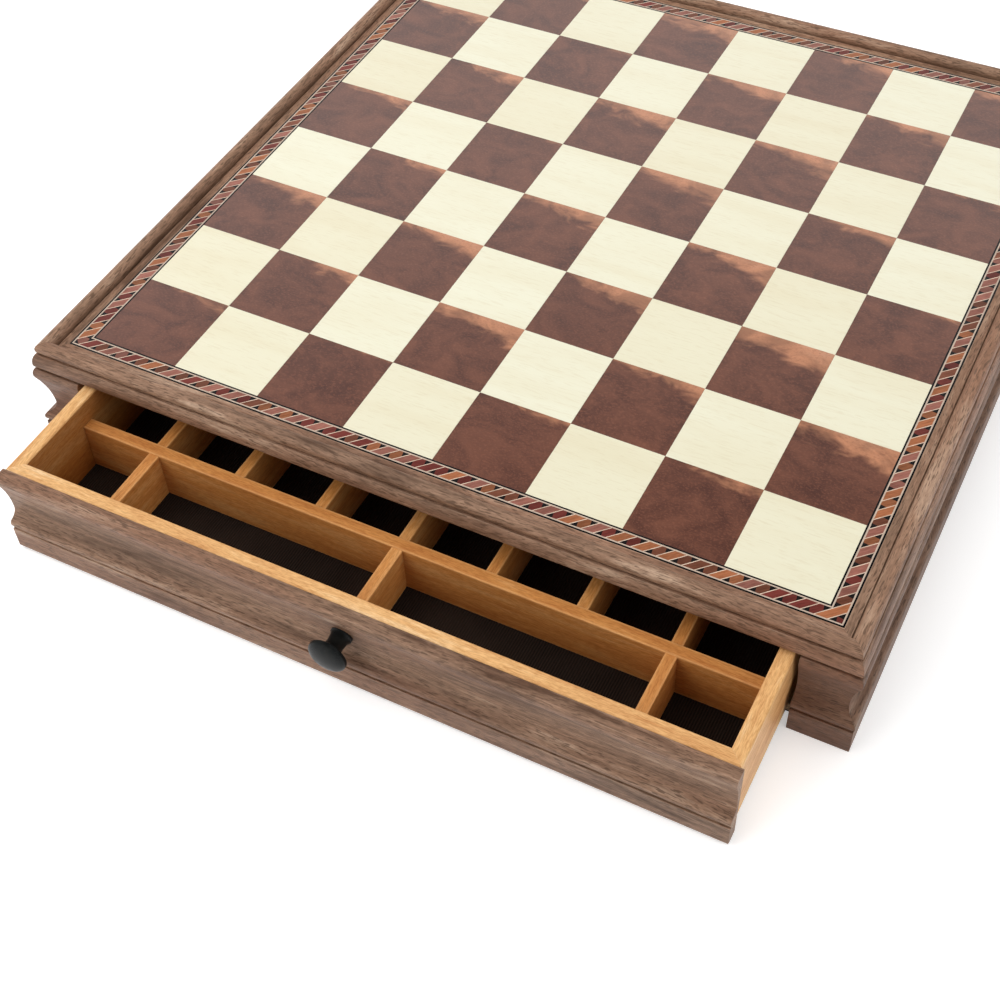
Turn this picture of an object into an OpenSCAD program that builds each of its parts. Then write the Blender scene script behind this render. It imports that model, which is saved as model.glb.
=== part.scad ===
// Chess and draughts box with a drawer at the front and a drawer at the back.
// Origin: centre of the footprint, on the surface that the box stands on. +Z is up.
// The front drawer opens towards -Y, and is drawn out by front_pull as it stands.

/* [Board] */
// Side of one playing square
square_w = 40; // [30:0.5:55]
// Playing squares along one side of the board
squares_per_side = 8; // [6:2:10]
// Thickness of the square veneers and of the border inlay
veneer_t = 0.8; // [0.5:0.1:1.5]
// Hairline joint between two veneers
veneer_joint = 0.05; // [0.02:0.01:0.2]
// Thickness of the whole board, from the walls' top to the playing surface
board_t = 9; // [7.5:0.5:14]

/* [Border inlay] */
// Width of each black stringing line
black_line_w = 0.7; // [0.4:0.1:1.5]
// Width of each pale stringing line
pale_line_w = 0.6; // [0.4:0.1:1.5]
// Width of the rope banding
rope_w = 5.1; // [3:0.1:10]

/* [Board rails] */
// Width of a rail, from the inlay to the plane of the plinth
rail_w = 13.6; // [13:0.1:20]
// Radius of the raised roll along a rail's outer edge
crest_r = 3; // [2.5:0.1:3.3]
// Height of that roll's centre line above the playing surface
crest_rise = 0.8; // [0.2:0.1:1.3]
// How far the roll's nose stands back from the plinth
crest_inset = 3.4; // [3:0.1:4]
// Width of the quirk between the rail's flat and its roll
crest_quirk_w = 0.6; // [0.3:0.1:1.2]
// Depth of that quirk below the playing surface
crest_quirk_d = 0.8; // [0.3:0.1:1.5]
// Drop of the quirk under the roll, from the playing surface
quirk_drop = 1.5; // [1.2:0.1:2]
// Height of that quirk
quirk_h = 0.5; // [0.3:0.1:0.8]
// How far the bottom of that quirk stands back from the plinth
quirk_inset = 4.6; // [4:0.1:6]
// How far the rail's lower bead stands back from the plinth
cornice_inset = 1.5; // [1:0.1:2.2]
// How far that bead swells out from its centre line
cornice_r = 4.2; // [3.9:0.1:5]
// Height of that bead's nose above the walls' top
cornice_rise = 2.4; // [2:0.1:3.5]

/* [Case] */
// Height of the playing surface above the table
case_h = 52; // [48:1:75]
// Thickness of the walls at the plinth
wall_t = 13.3; // [11:0.1:20]
// Height of the plinth at the foot of the moulding
plinth_h = 12.3; // [10:0.1:13.8]
// Width of each moulded post beside a drawer opening
post_w = 24.3; // [22:0.1:45]
// Thickness of the baize under the case
baize_t = 1; // [0.5:0.1:2]
// Thickness of the bottom panel
bottom_t = 4; // [3:0.5:6]
// How far the bottom panel reaches into the walls
bottom_rebate = 4; // [2:0.5:6]
// Thickness of the partition between the two drawers
partition_t = 8; // [5:0.5:20]
// Height of the strips that guide the drawers sideways
guide_h = 12; // [12:0.5:18]
// Length of a glue block along the wall
block_l = 18; // [8:1:40]

/* [Wall moulding] */
// Radius of the bead above the plinth
bead_r = 2.2; // [1.2:0.1:2.6]
// How far the bead stands proud of the plinth
bead_proud = 0.2; // [0:0.1:0.6]
// Depth and height of the quirk between plinth and bead
bead_quirk = 0.7; // [0.3:0.1:1]
// Depth of the cove, behind the plinth
cove_inset = 4.4; // [3:0.1:4.8]
// Height of the deepest line of the cove above the table
cove_z = 21.5; // [20:0.1:23]
// How far the roll at the wall's top stands back from the plinth
roll_inset = 0.6; // [0:0.1:1.5]
// Radius of that roll
roll_r = 5; // [3.5:0.1:6]
// Height of the roll's centre below the walls' top
roll_drop = 3; // [2:0.1:3.4]

/* [Drawers] */
// How far the front drawer is drawn out
front_pull = 55; // [0:1:110]
// Gap between the drawer facing and each post
facing_gap = 1; // [0.3:0.1:1.5]
// How far the facing reaches past the drawer box on each side
facing_overhang = 1; // [0.2:0.1:3]
// Thickness of the facing at its plinth
facing_t = 6.5; // [5.8:0.1:9]
// Chamfer along the facing's bottom edge
facing_chamfer = 1; // [0.3:0.1:2]
// Thickness of the drawer's sides, inner front and back
side_t = 6; // [4:0.5:10]
// Rounding of the drawer's rim
rim_r = 0.8; // [0.3:0.1:1.5]
// Thickness of the drawer's bottom
drawer_bottom_t = 2.5; // [1.5:0.1:5]
// Height of that bottom above the lower edge of the sides
bottom_rise = 1; // [0.5:0.1:4]
// Depth of the grooves that hold the bottom
bottom_groove = 2.5; // [1:0.1:3]
// Thickness of the fabric lining
lining_t = 0.5; // [0.3:0.1:2]

/* [Compartments] */
// Width of the trough between the inner front and the long divider
trough_w = 33; // [24:1:60]
// Thickness of the long divider
long_divider_t = 5.5; // [3:0.1:8]
// Thickness of the cross dividers
cross_divider_t = 4.8; // [3:0.1:8]
// How far the long divider's top lies below the rim
divider_drop = 10.6; // [3:0.1:15]
// How far the cross dividers' tops lie below the long divider's top
cross_drop = 0.4; // [0:0.1:2]

/* [Knob] */
// Diameter of the knob's rim
knob_d = 15.8; // [12:0.1:20]
// Length of the knob, from the facing to its rim
knob_l = 11.5; // [9:0.1:18]
// Height of the domed face above the rim
knob_dome = 2.6; // [1:0.1:4]
// Diameter of the knob's neck
knob_neck_d = 7; // [5.5:0.1:8]
// Diameter of the knob's foot, which is let into the facing
knob_foot_d = 9; // [8:0.1:12]
// Thickness of the knob's foot
knob_foot_t = 1.6; // [1:0.1:2.5]
// Thickness of the knob's rim
knob_rim_t = 1; // [0.6:0.1:2]
// Height of the knob's axis above the table
knob_z = 28; // [24:0.5:32]

/* [Screws] */
// Shank diameter of the case screws
screw_d = 3; // [2:0.1:4]
// Head diameter of the case screws
screw_head_d = 5.6; // [4.2:0.1:7]
// How far the bottom screws reach into the guide strips
bottom_screw_grip = 10; // [5:0.5:10]
// How far the guide screws reach into the walls
guide_screw_grip = 6; // [4:0.5:7]
// Shank diameter of the knob screw
knob_screw_d = 3.4; // [2.5:0.1:4]
// Head diameter of the knob screw
knob_screw_head_d = 7; // [5:0.1:9]
// Thickness of the knob screw's head
knob_screw_head_t = 2; // [1:0.1:3]
// How far the knob screw reaches into the knob
knob_screw_in = 8; // [4:0.5:9]

/* [Clearances] */
// Running gap under a drawer
runner_gap = 0.3; // [0.2:0.1:1]
// Gap between a drawer's rim and the board above it
top_gap = 0.4; // [0.3:0.1:2]
// Gap between a drawer's side and its guide strip
guide_gap = 0.4; // [0.3:0.1:1.5]
// Gap between a shut drawer and what stops it
shut_gap = 0.5; // [0.3:0.1:2]
// Fitting gap round panels, linings and dividers
fit_gap = 0.1; // [0.05:0.05:0.4]
// Radial gap round a screw's shank
screw_gap = 0.05; // [0.02:0.01:0.1]

/* [Hidden] */
$fn = 64;

// Colours
WALNUT = [0.48, 0.37, 0.31];
BOXWOOD = [0.83, 0.62, 0.38];
MAPLE = [0.93, 0.87, 0.74];
BURL = [0.27, 0.15, 0.12];
PLYWOOD = [0.78, 0.66, 0.48];
CLOTH = [0.07, 0.06, 0.05];
STEEL = [0.7, 0.7, 0.72];
BLACK = [0.05, 0.05, 0.05];
ROSEWOOD = [0.62, 0.33, 0.26];

// Plan sizes, each half of a width that is centred on the origin
field_half = square_w * squares_per_side / 2;
inlay_w = 2 * black_line_w + 2 * pale_line_w + rope_w;
inlay_half = field_half + inlay_w;
case_half = inlay_half + rail_w;
wall_in = case_half - wall_t;
opening_half = case_half - post_w;
facing_half = opening_half - facing_gap;
box_half = facing_half - facing_overhang;
guide_in = box_half + guide_gap;
cell_half = box_half - side_t;

// Half widths of the inlay's rings, counted outwards from the field
line_1 = field_half + black_line_w;
line_2 = line_1 + pale_line_w;
line_3 = line_2 + rope_w;
line_4 = line_3 + pale_line_w;

// Heights above the table
wall_top = case_h - board_t;
panel_top = baize_t + bottom_t;
box_z = panel_top + runner_gap;
rim_z = wall_top - top_gap;
crest_top = case_h + crest_rise + crest_r;
ply_z = box_z + bottom_rise;
lining_z = ply_z + drawer_bottom_t;
cell_z = lining_z + lining_t;
long_top = rim_z - divider_drop;
cross_top = long_top - cross_drop;
lap_z = (cell_z + cross_top) / 2;

// Distances from the centre along Y, with a drawer shut
box_front = case_half - facing_t;
box_back = partition_t / 2 + shut_gap;
cell_front = box_front - side_t;
cell_back = box_back + side_t;
long_front = cell_front - trough_w;
long_back = long_front - long_divider_t;
box_mid = (box_front + box_back) / 2;
box_depth_half = (box_front - box_back) / 2;
knob_seat = case_half - cove_inset;
knob_pocket = box_front - knob_screw_head_t;

// Row of cells behind the long divider; the first divider and every third one after it cross the trough
CELLS = 8;
THROUGH_STEP = 3;
cell_pitch = (2 * cell_half + cross_divider_t) / CELLS;

// Rows of screws, as shares of the guide strips' half length, and the screws' lengths
BOTTOM_SCREW_ROW = [-0.75, -0.25, 0.25, 0.75];
GUIDE_SCREW_ROW = [-0.5, 0, 0.5];
bottom_screw_l = bottom_t + bottom_screw_grip;
guide_screw_l = wall_in - guide_in + guide_screw_grip;

// Angle that the bead above the plinth turns through below its nose
BEAD_SPAN = 50;
// Half angle of the bead along the rails' lower edge
CORNICE_SPAN = 52;

// Steps along a long arc and along a short one
ARC_STEPS = 12;
SHORT_STEPS = 8;

// Allowance by which a cutting shape runs past what it cuts
PAST = 1;

// Points along an elliptical arc about (cx, cy), from angle a0 to angle a1
function arc(cx, cy, rx, ry, a0, a1, steps = ARC_STEPS) =
    [for (i = [0:steps]) [cx + rx * cos(a0 + (a1 - a0) * i / steps),
                          cy + ry * sin(a0 + (a1 - a0) * i / steps)]];

// ---- outlines: x is the distance from the box's centre, y is the height ----

// Radius of a hollow that swings out by depth over a rise, and there meets a round of radius r
function hollow_r(depth, rise, r) = (depth * depth + rise * rise) / (2 * depth) - r;

// Outer edge of the wall moulding, from the table up to the walls' top
function wall_edge() =
    let (
        bead_x = case_half + bead_proud - bead_r,
        bead_z = plinth_h + bead_quirk + bead_r,
        cove_x = case_half - cove_inset,
        foot_rise = cove_z - bead_z,
        foot_r = hollow_r(cove_inset + bead_proud, foot_rise, bead_r),
        foot_meet = asin(foot_rise / (foot_r + bead_r)),
        roll_x = case_half - roll_inset - roll_r,
        roll_z = wall_top - roll_drop,
        rise = roll_z - cove_z,
        cove_r = hollow_r(cove_inset - roll_inset, rise, roll_r),
        meet = asin(rise / (cove_r + roll_r))
    )
    concat(
        [[case_half, 0], [case_half, plinth_h], [case_half - bead_quirk, plinth_h]],
        [[case_half - bead_quirk, plinth_h + bead_quirk]],
        arc(bead_x, bead_z, bead_r, bead_r, -BEAD_SPAN, foot_meet, SHORT_STEPS),
        arc(cove_x + foot_r, cove_z, foot_r, foot_r, 180 + foot_meet, 180, SHORT_STEPS),
        arc(cove_x + cove_r, cove_z, cove_r, cove_r, 180, 180 - meet),
        arc(roll_x, roll_z, roll_r, roll_r, -meet, asin(roll_drop / roll_r), SHORT_STEPS)
    );

// Section of the case walls and posts
module wall_section() {
    polygon(concat(wall_edge(), [[wall_in, wall_top], [wall_in, 0]]));
}

// Section of a rail: flat beside the inlay, quirk, raised roll, quirk and lower bead
module rail_section() {
    bead_x = case_half - cornice_inset - cornice_r;
    bead_z = wall_top + cornice_rise;
    lower_rz = cornice_rise / sin(CORNICE_SPAN);
    upper_rz = (case_h - quirk_drop - bead_z) / sin(CORNICE_SPAN);
    crest_x = case_half - crest_inset - crest_r;
    crest_in = crest_x - crest_r;
    undercut = asin((crest_rise + quirk_drop - quirk_h) / crest_r);
    polygon(concat(
        [[inlay_half, wall_top]],
        arc(bead_x, bead_z, cornice_r, lower_rz, -CORNICE_SPAN, 0, SHORT_STEPS),
        arc(bead_x, bead_z, cornice_r, upper_rz, 0, CORNICE_SPAN, SHORT_STEPS),
        [[case_half - quirk_inset, case_h - quirk_drop]],
        arc(crest_x, case_h + crest_rise, crest_r, crest_r, -undercut, 90),
        arc(crest_x, case_h + crest_rise, crest_r, crest_r, 90, 180, SHORT_STEPS),
        [[crest_in, case_h - crest_quirk_d], [crest_in - crest_quirk_w, case_h - crest_quirk_d]],
        [[crest_in - crest_quirk_w, case_h], [inlay_half, case_h]]
    ));
}

// Section of a drawer's wooden sides: x is the depth from the inner face
module board_section() {
    height = rim_z - box_z;
    groove_top = bottom_rise + drawer_bottom_t;
    polygon(concat(
        [[0, 0], [side_t, 0]],
        arc(side_t - rim_r, height - rim_r, rim_r, rim_r, 0, 90, SHORT_STEPS),
        arc(rim_r, height - rim_r, rim_r, rim_r, 90, 180, SHORT_STEPS),
        [[0, groove_top], [bottom_groove, groove_top]],
        [[bottom_groove, bottom_rise], [0, bottom_rise]]
    ));
}

// ---- helpers ----

// Extrudes a section along Y, from -half to half, with the section's x along +X
module along_y(half) {
    translate([0, half, 0])
        rotate([90, 0, 0])
            linear_extrude(2 * half)
                children();
}

// Keeps the quarter of the plan on the +X side, between the two mitres
module mitred_quarter() {
    reach = case_half + PAST;
    intersection() {
        children();
        translate([0, 0, -PAST])
            linear_extrude(crest_top + 2 * PAST)
                polygon([[0, 0], [reach, -reach], [reach, reach]]);
    }
}

// One side of a square ring: +X side, mitred, between two half widths and two heights
module ring_side(half_in, half_out, z, t) {
    translate([0, 0, z])
        linear_extrude(t)
            polygon([[half_in, -half_in], [half_out, -half_out],
                     [half_out, half_out], [half_in, half_in]]);
}

// Whole square ring of four mitred strips
module ring(half_in, half_out, z, t) {
    for (turn = [0:90:270])
        rotate(turn)
            ring_side(half_in, half_out, z, t);
}

// Block centred in X and Y
module centred_block(w, d, z, t) {
    translate([-w / 2, -d / 2, z])
        cube([w, d, t]);
}

// Puts a drawer's piece in place: side 1 is the front drawer, side -1 the back drawer
module in_drawer(side) {
    if (side > 0)
        translate([0, -front_pull, 0])
            children();
    else
        rotate(180)
            children();
}

// Countersunk screw along +Z, with the head's flat face at the origin
module countersunk(length, gap = 0) {
    head_l = (screw_head_d - screw_d) / 2;
    cylinder(h = head_l, r1 = screw_head_d / 2, r2 = screw_d / 2 + gap);
    cylinder(h = length, r = screw_d / 2 + gap);
}

// ---- case ----

// Plan of the bottom: between the walls, with a tongue under each drawer facing
module bottom_plan(inset) {
    square([2 * (wall_in + bottom_rebate - inset), 2 * (wall_in - inset)], center = true);
    square([2 * (opening_half - facing_gap - inset), 2 * (box_front - shut_gap - inset)], center = true);
}

module baize_underlay() {
    color(BLACK)
        linear_extrude(baize_t)
            bottom_plan(fit_gap);
}

module at_bottom_screws() {
    for (side = [-1, 1], row = BOTTOM_SCREW_ROW)
        translate([side * (guide_in + wall_in) / 2, row * wall_in, baize_t])
            children();
}

module bottom_screws() {
    color(STEEL)
        at_bottom_screws()
            countersunk(bottom_screw_l);
}

module at_guide_screws() {
    for (side = [0, 180], row = GUIDE_SCREW_ROW)
        rotate(side)
            translate([guide_in, row * wall_in, panel_top + guide_h / 2])
                rotate([0, 90, 0])
                    children();
}

module guide_screws() {
    color(STEEL)
        at_guide_screws()
            countersunk(guide_screw_l);
}

module bottom_panel() {
    color(PLYWOOD)
        difference() {
            translate([0, 0, baize_t])
                linear_extrude(bottom_t)
                    bottom_plan(0);
            at_bottom_screws()
                countersunk(bottom_screw_l, screw_gap);
        }
}

// Wall on the +X side, mitred at both ends and rebated for the bottom panel
module wall() {
    difference() {
        mitred_quarter()
            along_y(case_half + PAST)
                wall_section();
        translate([wall_in - PAST, -wall_in, -PAST])
            cube([bottom_rebate + PAST, 2 * wall_in, panel_top + PAST]);
        at_guide_screws()
            countersunk(guide_screw_l, screw_gap);
    }
}

module left_wall() {
    color(WALNUT)
        rotate(180)
            wall();
}

module right_wall() {
    color(WALNUT)
        wall();
}

// Post at the +X end of the front, with the moulding facing -Y
module post() {
    intersection() {
        rotate(-90)
            mitred_quarter()
                along_y(case_half + PAST)
                    wall_section();
        translate([opening_half, -case_half - PAST, 0])
            cube([post_w + PAST, wall_t + 2 * PAST, wall_top]);
    }
}

module front_right_post() {
    color(WALNUT)
        post();
}

module front_left_post() {
    color(WALNUT)
        mirror([1, 0, 0])
            post();
}

module back_left_post() {
    color(WALNUT)
        rotate(180)
            post();
}

module back_right_post() {
    color(WALNUT)
        mirror([0, 1, 0])
            post();
}

module centre_partition() {
    color(PLYWOOD)
        difference() {
            centred_block(2 * wall_in, partition_t, panel_top, wall_top - panel_top);
            for (side = [-1, 1])
                translate([side * (guide_in + wall_in + PAST) / 2, 0, 0])
                    centred_block(wall_in - guide_in + PAST, partition_t + PAST,
                                  panel_top - PAST, guide_h + PAST);
        }
}

module guide_strip() {
    difference() {
        translate([guide_in, -wall_in, panel_top])
            cube([wall_in - guide_in, 2 * wall_in, guide_h]);
        at_bottom_screws()
            countersunk(bottom_screw_l, screw_gap);
        at_guide_screws()
            countersunk(guide_screw_l, screw_gap);
    }
}

module left_guide_strip() {
    color(BOXWOOD)
        rotate(180)
            guide_strip();
}

module right_guide_strip() {
    color(BOXWOOD)
        guide_strip();
}

// Three-sided blocks in the corners, between guide strip and board
module glue_blocks() {
    color(PLYWOOD)
        for (mx = [0, 1], my = [0, 1])
            mirror([mx, 0, 0])
                mirror([0, my, 0])
                    translate([0, 0, panel_top + guide_h])
                        linear_extrude(wall_top - panel_top - guide_h)
                            polygon([[guide_in, wall_in], [wall_in, wall_in],
                                     [wall_in, wall_in - block_l]]);
}

// ---- board ----

module board_core() {
    color(PLYWOOD)
        centred_block(2 * inlay_half, 2 * inlay_half, wall_top, board_t - veneer_t);
}

// One square of veneer, with its lattice corner at the origin in plan
module veneer_square() {
    side = square_w - veneer_joint;
    translate([veneer_joint / 2, veneer_joint / 2, case_h - veneer_t])
        cube([side, side, veneer_t]);
}

// Squares whose column and row add up to an even (0) or odd (1) number
module squares(parity) {
    for (column = [0:squares_per_side - 1], row = [0:squares_per_side - 1])
        if ((column + row) % 2 == parity)
            translate([column * square_w - field_half, row * square_w - field_half, 0])
                veneer_square();
}

module dark_squares() {
    color(BURL)
        squares(0);
}

module light_squares() {
    color(MAPLE)
        squares(1);
}

module inlay_ring(half_in, half_out) {
    ring(half_in, half_out, case_h - veneer_t, veneer_t);
}

module black_stringing() {
    color(BLACK) {
        inlay_ring(field_half, line_1);
        inlay_ring(line_4, inlay_half);
    }
}

module pale_stringing() {
    color(MAPLE) {
        inlay_ring(line_1, line_2);
        inlay_ring(line_3, line_4);
    }
}

module rope_banding() {
    color(ROSEWOOD)
        inlay_ring(line_2, line_3);
}

// Rail on the +X side, mitred at both ends
module rail() {
    mitred_quarter()
        along_y(case_half + PAST)
            rail_section();
}

module front_rail() {
    color(WALNUT)
        rotate(-90)
            rail();
}

module back_rail() {
    color(WALNUT)
        rotate(90)
            rail();
}

module left_rail() {
    color(WALNUT)
        rotate(180)
            rail();
}

module right_rail() {
    color(WALNUT)
        rail();
}

// ---- drawer, drawn as the front one, shut ----

// Turns a shape from +Z to the knob's axis, at a distance from the centre, facing outwards
module on_knob_axis(distance) {
    translate([0, -distance, knob_z])
        rotate([90, 0, 0])
            children();
}

module knob_screw_shape(gap = 0) {
    on_knob_axis(knob_pocket)
        cylinder(h = knob_screw_head_t, r = knob_screw_head_d / 2 + gap);
    on_knob_axis(knob_pocket)
        cylinder(h = knob_seat - knob_pocket + knob_screw_in, r = knob_screw_d / 2 + gap);
}

module facing() {
    difference() {
        rotate(-90)
            along_y(facing_half)
                intersection() {
                    polygon(concat(wall_edge(), [[box_front, wall_top], [box_front, 0]]));
                    polygon([
                        [box_front, baize_t],
                        [case_half - facing_chamfer, baize_t],
                        [case_half + PAST, baize_t + facing_chamfer + PAST],
                        [case_half + PAST, rim_z],
                        [box_front, rim_z]
                    ]);
                }
        on_knob_axis(knob_seat)
            cylinder(h = cove_inset + PAST, r = knob_foot_d / 2 + fit_gap);
        knob_screw_shape(screw_gap);
    }
}

// Board of the drawer box on its +X side, mitred to half width and half depth
module box_board(half, half_other) {
    intersection() {
        translate([half - side_t, 0, box_z])
            along_y(half_other)
                board_section();
        translate([0, 0, box_z])
            linear_extrude(rim_z - box_z)
                polygon([
                    [half, -half_other], [half, half_other],
                    [half - side_t, half_other - side_t], [half - side_t, side_t - half_other]
                ]);
    }
}

module inner_front() {
    difference() {
        translate([0, -box_mid, 0])
            rotate(-90)
                box_board(box_depth_half, box_half);
        knob_screw_shape(screw_gap);
    }
}

module back_board() {
    translate([0, -box_mid, 0])
        rotate(90)
            box_board(box_depth_half, box_half);
}

module side_board(turn) {
    translate([0, -box_mid, 0])
        rotate(turn)
            box_board(box_half, box_depth_half);
}

module drawer_bottom() {
    grip = bottom_groove - fit_gap;
    translate([0, -box_mid, 0])
        centred_block(2 * (cell_half + grip), 2 * (box_depth_half - side_t + grip), ply_z, drawer_bottom_t);
}

module drawer_lining() {
    translate([0, -box_mid, 0])
        centred_block(2 * (cell_half - fit_gap), 2 * (box_depth_half - side_t - fit_gap), lining_z, lining_t);
}

// Middle of cross divider number k, counted from the left
function divider_x(k) = k * cell_pitch - cell_half - cross_divider_t / 2;

// Whether cross divider number k runs on through the trough
function is_through(k) = (k - 1) % THROUGH_STEP == 0;

module long_divider() {
    difference() {
        translate([fit_gap - cell_half, -long_front, cell_z])
            cube([2 * (cell_half - fit_gap), long_divider_t, long_top - cell_z]);
        for (k = [1:THROUGH_STEP:CELLS - 1])
            translate([divider_x(k), -(long_front + long_back) / 2, 0])
                centred_block(cross_divider_t + 2 * fit_gap, long_divider_t + PAST,
                              cell_z - PAST, lap_z - cell_z + PAST);
    }
}

module cross_divider(k) {
    front = is_through(k) ? cell_front : long_back;
    length = front - cell_back - 2 * fit_gap;
    difference() {
        translate([divider_x(k) - cross_divider_t / 2, fit_gap - front, cell_z])
            cube([cross_divider_t, length, cross_top - cell_z]);
        if (is_through(k))
            translate([divider_x(k), -(long_front + long_back) / 2, 0])
                centred_block(cross_divider_t + PAST, long_divider_t + 2 * fit_gap,
                              lap_z, cross_top - lap_z + PAST);
    }
}

// Half of the turned knob's outline: foot, neck, trumpet flare, rim and domed face
function knob_outline() =
    let (
        foot_r = knob_foot_d / 2,
        neck_r = knob_neck_d / 2,
        rim_radius = knob_d / 2,
        neck_l = (knob_l - knob_rim_t - knob_foot_t) / 2
    )
    concat(
        [[0, 0], [foot_r, 0]],
        arc(foot_r, knob_foot_t + neck_l, foot_r - neck_r, neck_l, 270, 180, SHORT_STEPS),
        arc(rim_radius, knob_foot_t + neck_l, rim_radius - neck_r, neck_l, 180, 90, SHORT_STEPS),
        arc(0, knob_l, rim_radius, knob_dome, 0, 90)
    );

module knob() {
    on_knob_axis(knob_seat)
        difference() {
            rotate_extrude()
                polygon(knob_outline());
            translate([0, 0, -PAST])
                cylinder(h = knob_screw_in + PAST, r = knob_screw_d / 2 + screw_gap);
        }
}

// ---- the front drawer ----

module front_drawer_facing() {
    color(WALNUT)
        in_drawer(1)
            facing();
}

module front_drawer_inner_front() {
    color(BOXWOOD)
        in_drawer(1)
            inner_front();
}

module front_drawer_left_side() {
    color(BOXWOOD)
        in_drawer(1)
            side_board(180);
}

module front_drawer_right_side() {
    color(BOXWOOD)
        in_drawer(1)
            side_board(0);
}

module front_drawer_back() {
    color(BOXWOOD)
        in_drawer(1)
            back_board();
}

module front_drawer_bottom() {
    color(PLYWOOD)
        in_drawer(1)
            drawer_bottom();
}

module front_drawer_lining() {
    color(CLOTH)
        in_drawer(1)
            drawer_lining();
}

module front_drawer_long_divider() {
    color(BOXWOOD)
        in_drawer(1)
            long_divider();
}

module front_drawer_divider(k) {
    color(BOXWOOD)
        in_drawer(1)
            cross_divider(k);
}

module front_drawer_knob() {
    color(BLACK)
        in_drawer(1)
            knob();
}

module front_drawer_knob_screw() {
    color(STEEL)
        in_drawer(1)
            knob_screw_shape();
}

// ---- the back drawer ----

module back_drawer_facing() {
    color(WALNUT)
        in_drawer(-1)
            facing();
}

module back_drawer_inner_front() {
    color(BOXWOOD)
        in_drawer(-1)
            inner_front();
}

module back_drawer_left_side() {
    color(BOXWOOD)
        in_drawer(-1)
            side_board(180);
}

module back_drawer_right_side() {
    color(BOXWOOD)
        in_drawer(-1)
            side_board(0);
}

module back_drawer_back() {
    color(BOXWOOD)
        in_drawer(-1)
            back_board();
}

module back_drawer_bottom() {
    color(PLYWOOD)
        in_drawer(-1)
            drawer_bottom();
}

module back_drawer_lining() {
    color(CLOTH)
        in_drawer(-1)
            drawer_lining();
}

module back_drawer_long_divider() {
    color(BOXWOOD)
        in_drawer(-1)
            long_divider();
}

module back_drawer_divider(k) {
    color(BOXWOOD)
        in_drawer(-1)
            cross_divider(k);
}

module back_drawer_knob() {
    color(BLACK)
        in_drawer(-1)
            knob();
}

module back_drawer_knob_screw() {
    color(STEEL)
        in_drawer(-1)
            knob_screw_shape();
}

// ---- output ----

baize_underlay();
bottom_panel();
left_wall();
right_wall();
front_left_post();
front_right_post();
back_left_post();
back_right_post();
centre_partition();
left_guide_strip();
right_guide_strip();
glue_blocks();
bottom_screws();
guide_screws();
board_core();
light_squares();
dark_squares();
black_stringing();
pale_stringing();
rope_banding();
front_rail();
back_rail();
left_rail();
right_rail();
front_drawer_facing();
front_drawer_inner_front();
front_drawer_left_side();
front_drawer_right_side();
front_drawer_back();
front_drawer_bottom();
front_drawer_lining();
front_drawer_long_divider();
front_drawer_divider(1);  // front_drawer_divider_1
front_drawer_divider(2);  // front_drawer_divider_2
front_drawer_divider(3);  // front_drawer_divider_3
front_drawer_divider(4);  // front_drawer_divider_4
front_drawer_divider(5);  // front_drawer_divider_5
front_drawer_divider(6);  // front_drawer_divider_6
front_drawer_divider(7);  // front_drawer_divider_7
front_drawer_knob();
front_drawer_knob_screw();
back_drawer_facing();
back_drawer_inner_front();
back_drawer_left_side();
back_drawer_right_side();
back_drawer_back();
back_drawer_bottom();
back_drawer_lining();
back_drawer_long_divider();
back_drawer_divider(1);  // back_drawer_divider_1
back_drawer_divider(2);  // back_drawer_divider_2
back_drawer_divider(3);  // back_drawer_divider_3
back_drawer_divider(4);  // back_drawer_divider_4
back_drawer_divider(5);  // back_drawer_divider_5
back_drawer_divider(6);  // back_drawer_divider_6
back_drawer_divider(7);  // back_drawer_divider_7
back_drawer_knob();
back_drawer_knob_screw();
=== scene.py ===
"""Chess box with drawers: an inlaid board on a moulded walnut case, with a divided drawer at either end.

Laid out as an add-on and run as a script. Each piece is worked out with numpy in millimetres, in the frame of
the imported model: x to the right, y to the back, z up from the table. It goes into Blender in metres, in place.
"""

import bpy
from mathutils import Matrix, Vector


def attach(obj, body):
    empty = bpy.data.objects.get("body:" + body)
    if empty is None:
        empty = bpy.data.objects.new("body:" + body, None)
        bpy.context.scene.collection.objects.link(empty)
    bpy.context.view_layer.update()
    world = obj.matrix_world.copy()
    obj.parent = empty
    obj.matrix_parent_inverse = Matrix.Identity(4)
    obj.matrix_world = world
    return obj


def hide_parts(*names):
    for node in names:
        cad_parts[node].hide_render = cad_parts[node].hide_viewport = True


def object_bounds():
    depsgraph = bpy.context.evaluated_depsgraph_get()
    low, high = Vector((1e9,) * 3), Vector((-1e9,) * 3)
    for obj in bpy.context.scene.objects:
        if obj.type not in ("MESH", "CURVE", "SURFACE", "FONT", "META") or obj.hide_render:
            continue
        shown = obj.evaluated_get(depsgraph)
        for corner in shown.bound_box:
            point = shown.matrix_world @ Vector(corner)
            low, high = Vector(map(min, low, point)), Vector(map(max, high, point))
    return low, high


bl_info = {
    "name": "Chess box with drawers",
    "version": (1, 0, 0),
    "blender": (4, 5, 0),
    "location": "View3D > Sidebar > Chess box",
    "description": "Dresses the packed chess box in walnut, boxwood, veneers, marquetry and cloth",
    "category": "Object",
}

from types import SimpleNamespace

import bpy
import numpy as np
from bpy.props import FloatProperty, FloatVectorProperty, IntProperty, PointerProperty
from bpy.types import Operator, Panel, PropertyGroup
from mathutils import Quaternion, Vector
from mathutils.geometry import tessellate_polygon

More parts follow.
